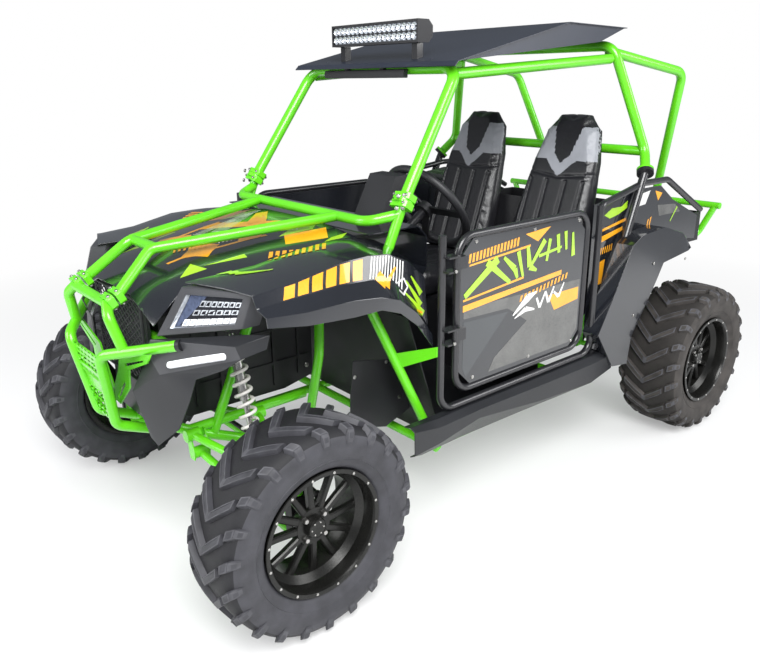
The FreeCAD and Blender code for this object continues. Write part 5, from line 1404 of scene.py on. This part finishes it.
class UTV_OT_finishes(bpy.types.Operator):
    """Make the finishes and give every CAD node the one of its material slot"""

    bl_idname = "utv.finishes"
    bl_label = "Finish the CAD nodes"

    def execute(self, context):
        materials.update(make_materials(context.scene.utv_paint))
        for part in frame["record"]["subparts"]:
            node = part["node"]
            mesh = frame["nodes"][node].data
            mesh.materials.clear()
            mesh.materials.append(materials[NODE_FINISHES.get(node, SLOT_FINISHES[part["material_slot"]])])
        return {"FINISHED"}


class UTV_OT_wheels(bpy.types.Operator):
    """Build the lugged tyres and the spoked rims"""

    bl_idname = "utv.wheels"
    bl_label = "Tyres and rims"

    def execute(self, context):
        settings = context.scene.utv_wheels
        for name, x, y, width, offset in WHEELS:
            side = 1 if y > 0 else -1
            # The middle finish of each set is the painted highlight on the lug edges.
            front = name.startswith("front")
            # The last finish of each set is the painted shade on the groove floors.
            rubber = ("tyre", "lug_edge_painted_highlight", "tyre_groove_painted_shade") if front else ("dusty_tyre", "lug_edge_painted_highlight", "dusty_groove_painted_shade")
            body = "wheel_" + name
            make_piece(
                "lugged_tyre_" + name, tyre_form((x, y, AXLE_Z), width, offset, side, settings.lugs), rubber,
                body, ("tyre_" + name,), 40,
            )
            make_piece(
                "spoked_rim_" + name, rim_form((x, y, AXLE_Z), offset, side, settings), ("rim", "steel"),
                body, ("rim_" + name,), 30,
            )
        return {"FINISHED"}


class UTV_OT_panels(bpy.types.Operator):
    """Build the hood, fenders, fascia, rockers and rear fenders"""

    bl_idname = "utv.panels"
    bl_label = "Body panels"

    def execute(self, context):
        make_open_pair("hood_panel", hood_form(), ("gloss_black",), ("hood",), False)
        make_open_pair("fender_panels", fender_form(), ("gloss_black",), ("front_fenders",))
        fascia = faceted_form({name: fascia_corner(name) for name in FASCIA_CORNERS}, FASCIA_FACETS, (1, 0.6, 0),
                               ("edq", "feq", "fqn", "qon", "qdo"))
        make_open_pair("fascia_panels", fascia, ("grey_plastic", "bezel"), ("front_fascia",))
        make_open_pair("rocker_covers", rocker_form(), ("grey_plastic",), ("rocker_panels",))
        make_open_pair("rear_fender_covers", rear_fender_form(), ("gloss_black",), ("rear_fenders",))
        return {"FINISHED"}


def make_open_pair(name, form, finishes, stands_for, pair=True):
    """An open panel, and its mirror image, given a wall behind its faces."""
    bmesh.ops.triangulate(form, faces=form.faces[:])
    if pair:
        mirror_form(form)
    return make_piece(name, form, finishes, "chassis", stands_for, 28, 0.004, 0.0012, True)


class UTV_OT_lamps(bpy.types.Operator):
    """Build the headlights, the light strips and the light bar"""

    bl_idname = "utv.lamps"
    bl_label = "Lamps"

    def execute(self, context):
        lights = headlight_form()
        mirror_form(lights)
        make_piece(
            "headlight_units", lights, ("bezel", "lamp_white", "lamp_dark", "lamp_glow", "lamp_blue"),
            "chassis", ("headlights",), 30,
        )
        strips = strip_form()
        mirror_form(strips)
        make_piece("light_strips", strips, ("lamp_glow",), "chassis", (), 40)
        low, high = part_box("light_bar")
        make_piece(
            "finned_light_bar", light_bar_form(low, high), ("black_plastic", "lamp_white", "lamp_dark"),
            "chassis", ("light_bar",), 30,
        )
        return {"FINISHED"}


class UTV_OT_fittings(bpy.types.Operator):
    """Build the front tubes, arms, guard, clamps, grille, covers, mirror, gauge pod and bolts"""

    bl_idname = "utv.fittings"
    bl_label = "Front tubes and fittings"

    def execute(self, context):
        make_piece("front_tubes", front_frame_form(), ("lime",), "chassis", ("front_frame",), 35)
        make_piece(
            "slim_mirror", mirror_bar_form(), ("black_plastic", "mirror"), "chassis",
            ("cabin_mirror",),
        )
        make_piece("gauge_pod", binnacle_form(), ("black_plastic", "grey_plastic", "window"))
        make_piece("guard_bars", guard_form(), ("lime", "black_plastic"), "chassis", ("front_guard",), 35)
        plate = guard_plate_form()
        oriented(plate, (1, 0, 0))
        make_piece("guard_plate", plate, ("lime",), "chassis", (), 30, 0.005, 0.0, True)
        make_piece("guard_brackets", bracket_form(), ("lime",), "chassis", (), 30, 0.006, 0.0, True)
        make_piece(
            "mesh_grille", grille_form(), ("black_plastic", "grey_plastic"), "chassis",
            ("front_grille",), 40,
        )
        make_piece("arch_liners", liner_form(), ("black_plastic", "steel"))
        make_piece("bolt_heads", clamp_bolts_form(), ("steel",))
        make_piece("door_bolts_left", door_bolts_form(1), ("steel",), "door_left")
        make_piece("door_bolts_right", door_bolts_form(-1), ("steel",), "door_right")
        make_piece("arm_tubes", lower_arms_form(), ("lime",), "chassis", ("front_lower_arms",), 35)
        make_piece("inner_cover", inner_cover_form(), ("black_plastic", "steel"))
        make_piece("bar_clamps", clamps_form(), ("lime", "steel"), "chassis", (), 30, 0.0, 0.0015)
        return {"FINISHED"}


class UTV_OT_seats(bpy.types.Operator):
    """Build the padded seats"""

    bl_idname = "utv.seats"
    bl_label = "Seats"

    def execute(self, context):
        settings = context.scene.utv_seats
        for name, side in (("left", 1), ("right", -1)):
            y = side * SEAT_Y
            low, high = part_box("seat_backs")
            back = make_piece(
                "seat_back_cover_" + name, seat_back_form(y, low.z, high.z), ("leather", "pale_leather"),
                "chassis", ("seat_backs",),
            )
            cushion = make_piece(
                "seat_cushion_cover_" + name, cushion_form(y), ("leather", "pale_leather"), "chassis",
                ("seat_cushions",),
            )
            for piece, vertical in ((back, True), (cushion, False)):
                remeshed(piece, settings.cell)
                inflate(piece, settings)
                sew(piece, y, vertical, settings)
        return {"FINISHED"}


def sew(piece, y, vertical, settings):
    """Sinks the seams and colours the head part of a seat."""
    for vert in piece.data.vertices:
        across = vert.co.y - y
        front = vert.normal.x if vertical else vert.normal.z
        if front < 0.2:
            continue
        dip = 0.0
        for seam in SEAMS:
            if not vertical or vert.co.z < 1.12:
                dip = max(dip, groove(across - seam, settings.seam_width, settings.seam_depth))
        if vertical:
            dip = max(dip, groove(vert.co.z - 1.13 - 0.10 * abs(across), 0.010, settings.seam_depth * 0.7))
        vert.co -= vert.normal * dip * front
    for face in piece.data.polygons:
        face.use_smooth = True
        across, z = abs(face.center.y - y), face.center.z
        pale = vertical and face.normal.x > 0.1 and (
            (z > 1.20 and across > 0.035 + (z - 1.20) * 0.25 and z < 1.335 and across < 0.20)
            or (1.13 + across * 0.9 < z < 1.185 + across * 0.9)
        )
        face.material_index = 1 if pale else 0


class UTV_OT_prints(bpy.types.Operator):
    """Lay the printed shapes on the doors, hood, fenders and side panels"""

    bl_idname = "utv.prints"
    bl_label = "Prints"

    def execute(self, context):
        settings = context.scene.utv_prints
        jobs = (
            ("door", door_prints(), "y", settings.flat_step, (frame["nodes"]["door_panel_left"],), True),
            ("hood", hood_prints(), "z", settings.curved_step,
             (bpy.data.objects["hood_panel"], bpy.data.objects["fender_panels"]), False),
            ("fender", fender_prints(), "y", settings.curved_step, (bpy.data.objects["fender_panels"],), False),
            ("side", side_prints(), "y", settings.flat_step, (frame["nodes"]["rear_side_panels"],), False),
        )
        for name, shapes, axis, step, panels, door in jobs:
            form = print_form(surface_tree(*panels), shapes, axis, step)
            if door:
                other = form.copy()
                mirror_form(other)
                left = [vert for vert in other.verts if vert.co.y > 0]
                bmesh.ops.delete(other, geom=left, context="VERTS")
                make_piece(name + "_prints_right", other, PRINTS, "door_right", (), 30, 0, 0, True)
                make_piece(name + "_prints_left", form, PRINTS, "door_left", (), 30, 0, 0, True)
            else:
                mirror_form(form)
                make_piece(name + "_prints", form, PRINTS, "chassis", (), 30, 0, 0, True)
        return {"FINISHED"}


class UTV_OT_stage(bpy.types.Operator):
    """Add the floor, the world, the lamps and the camera"""

    bl_idname = "utv.stage"
    bl_label = "Stage, lamps and camera"

    def execute(self, context):
        stage = context.scene.utv_stage
        add_floor(stage)
        add_world(context, stage)
        add_lamp("key lamp", (2.4, 3.6, 4.2), 3.0, stage.key_power)
        add_lamp("left lamp", (-3.2, 4.2, 2.6), 2.4, stage.fill_power)
        add_lamp("front lamp", (4.8, -1.6, 2.4), 2.4, stage.fill_power)
        add_camera(context, context.scene.utv_camera)
        context.scene.view_settings.view_transform = "Standard"
        return {"FINISHED"}


def add_floor(stage):
    """A pale floor that keeps the shadow and turns plain white away from the vehicle."""
    mesh = bpy.data.meshes.new("floor")
    form = bmesh.new()
    bmesh.ops.create_circle(form, cap_ends=True, segments=64, radius=stage.floor_radius)
    form.to_mesh(mesh)
    form.free()
    floor = bpy.data.objects.new("floor", mesh)
    bpy.context.scene.collection.objects.link(floor)
    material = bpy.data.materials.new("pale floor")
    material.use_nodes = True
    tree = material.node_tree
    shader = tree.nodes["Principled BSDF"]
    shader.inputs["Base Color"].default_value = (0.8, 0.8, 0.8, 1.0)
    shader.inputs["Roughness"].default_value = 0.9
    white = tree.nodes.new("ShaderNodeEmission")
    place = tree.nodes.new("ShaderNodeTexCoord").outputs["Object"]
    distance = tree.nodes.new("ShaderNodeVectorMath")
    distance.operation = "LENGTH"
    tree.links.new(place, distance.inputs[0])
    far = ranged(tree, distance.outputs["Value"], 0.35, 1.0, stage.clear_radius / 3, stage.clear_radius)
    path = tree.nodes.new("ShaderNodeLightPath")
    factor = tree.nodes.new("ShaderNodeMath")
    factor.operation = "MULTIPLY"
    tree.links.new(far, factor.inputs[0])
    tree.links.new(path.outputs["Is Camera Ray"], factor.inputs[1])
    mix = tree.nodes.new("ShaderNodeMixShader")
    tree.links.new(factor.outputs[0], mix.inputs[0])
    tree.links.new(shader.outputs[0], mix.inputs[1])
    tree.links.new(white.outputs[0], mix.inputs[2])
    tree.links.new(mix.outputs[0], tree.nodes["Material Output"].inputs["Surface"])
    mesh.materials.append(material)


def add_world(context, stage):
    """A plain sky: soft grey light, white where the camera, gloss or glass sees it."""
    world = bpy.data.worlds.new("plain sky")
    context.scene.world = world
    world.use_nodes = True
    tree = world.node_tree
    light = tree.nodes["Background"]
    light.inputs["Color"].default_value = (0.93, 0.96, 1.0, 1.0)
    light.inputs["Strength"].default_value = stage.sky
    white = tree.nodes.new("ShaderNodeBackground")
    white.inputs["Color"].default_value = (1.0, 1.0, 1.0, 1.0)
    path = tree.nodes.new("ShaderNodeLightPath")
    mix = tree.nodes.new("ShaderNodeMixShader")
    dim = tree.nodes.new("ShaderNodeBackground")
    dim.inputs["Color"].default_value = (0.86, 0.92, 1.0, 1.0)
    dim.inputs["Strength"].default_value = stage.reflected_sky
    gloss = tree.nodes.new("ShaderNodeMixShader")
    tree.links.new(path.outputs["Is Glossy Ray"], gloss.inputs[0])
    tree.links.new(light.outputs[0], gloss.inputs[1])
    tree.links.new(dim.outputs[0], gloss.inputs[2])
    tree.links.new(path.outputs["Is Camera Ray"], mix.inputs[0])
    tree.links.new(gloss.outputs[0], mix.inputs[1])
    tree.links.new(white.outputs[0], mix.inputs[2])
    tree.links.new(mix.outputs[0], tree.nodes["World Output"].inputs["Surface"])


def add_lamp(name, place, size, power):
    """A square area lamp that looks at the middle of the vehicle."""
    lamp = bpy.data.lights.new(name, "AREA")
    lamp.size = size
    lamp.energy = power
    holder = bpy.data.objects.new(name, lamp)
    bpy.context.scene.collection.objects.link(holder)
    holder.location = place
    holder.rotation_euler = (Vector((0.0, 0.0, 0.7)) - holder.location).to_track_quat("-Z", "Y").to_euler()


def add_camera(context, settings):
    """The photograph's camera."""
    camera = bpy.data.cameras.new("photo camera")
    holder = bpy.data.objects.new("photo camera", camera)
    context.scene.collection.objects.link(holder)
    camera.lens = settings.lens
    camera.sensor_fit = "HORIZONTAL"
    camera.shift_x, camera.shift_y = settings.shift
    turn = Matrix.Rotation(settings.heading - math.pi / 2, 4, "Z")
    tilt = Matrix.Rotation(math.pi / 2 - settings.pitch, 4, "X")
    roll = Matrix.Rotation(settings.roll, 4, "Z")
    holder.matrix_world = Matrix.Translation(settings.place) @ turn @ tilt @ roll
    context.scene.camera = holder


class UTV_PT_panel(bpy.types.Panel):
    """Steps and settings of the side by side UTV"""

    bl_idname = "UTV_PT_panel"
    bl_label = "Side by side UTV"
    bl_space_type = "VIEW_3D"
    bl_region_type = "UI"
    bl_category = "UTV"

    def draw(self, context):
        for step in STEPS:
            self.layout.operator(step.bl_idname)
        for _, attribute in SETTINGS:
            group = getattr(context.scene, attribute)
            box = self.layout.box()
            for name in group.bl_rna.properties.keys():
                if name not in ("rna_type", "name"):
                    box.prop(group, name)


SETTINGS = (
    (UTVPaintSettings, "utv_paint"),
    (UTVWheelSettings, "utv_wheels"),
    (UTVSeatSettings, "utv_seats"),
    (UTVPrintSettings, "utv_prints"),
    (UTVCameraSettings, "utv_camera"),
    (UTVStageSettings, "utv_stage"),
)
STEPS = (
    UTV_OT_finishes,
    UTV_OT_wheels,
    UTV_OT_panels,
    UTV_OT_lamps,
    UTV_OT_fittings,
    UTV_OT_seats,
    UTV_OT_prints,
    UTV_OT_stage,
)


def register():
    for group, attribute in SETTINGS:
        bpy.utils.register_class(group)
        setattr(bpy.types.Scene, attribute, bpy.props.PointerProperty(type=group))
    for step in STEPS:
        bpy.utils.register_class(step)
    bpy.utils.register_class(UTV_PT_panel)


def unregister():
    bpy.utils.unregister_class(UTV_PT_panel)
    for step in reversed(STEPS):
        bpy.utils.unregister_class(step)
    for group, attribute in reversed(SETTINGS):
        delattr(bpy.types.Scene, attribute)
        bpy.utils.unregister_class(group)


def main():
    """Run every step in order."""
    register()
    for step in STEPS:
        space, name = step.bl_idname.split(".")
        getattr(getattr(bpy.ops, space), name)()


if __name__ == "__main__":
    main()
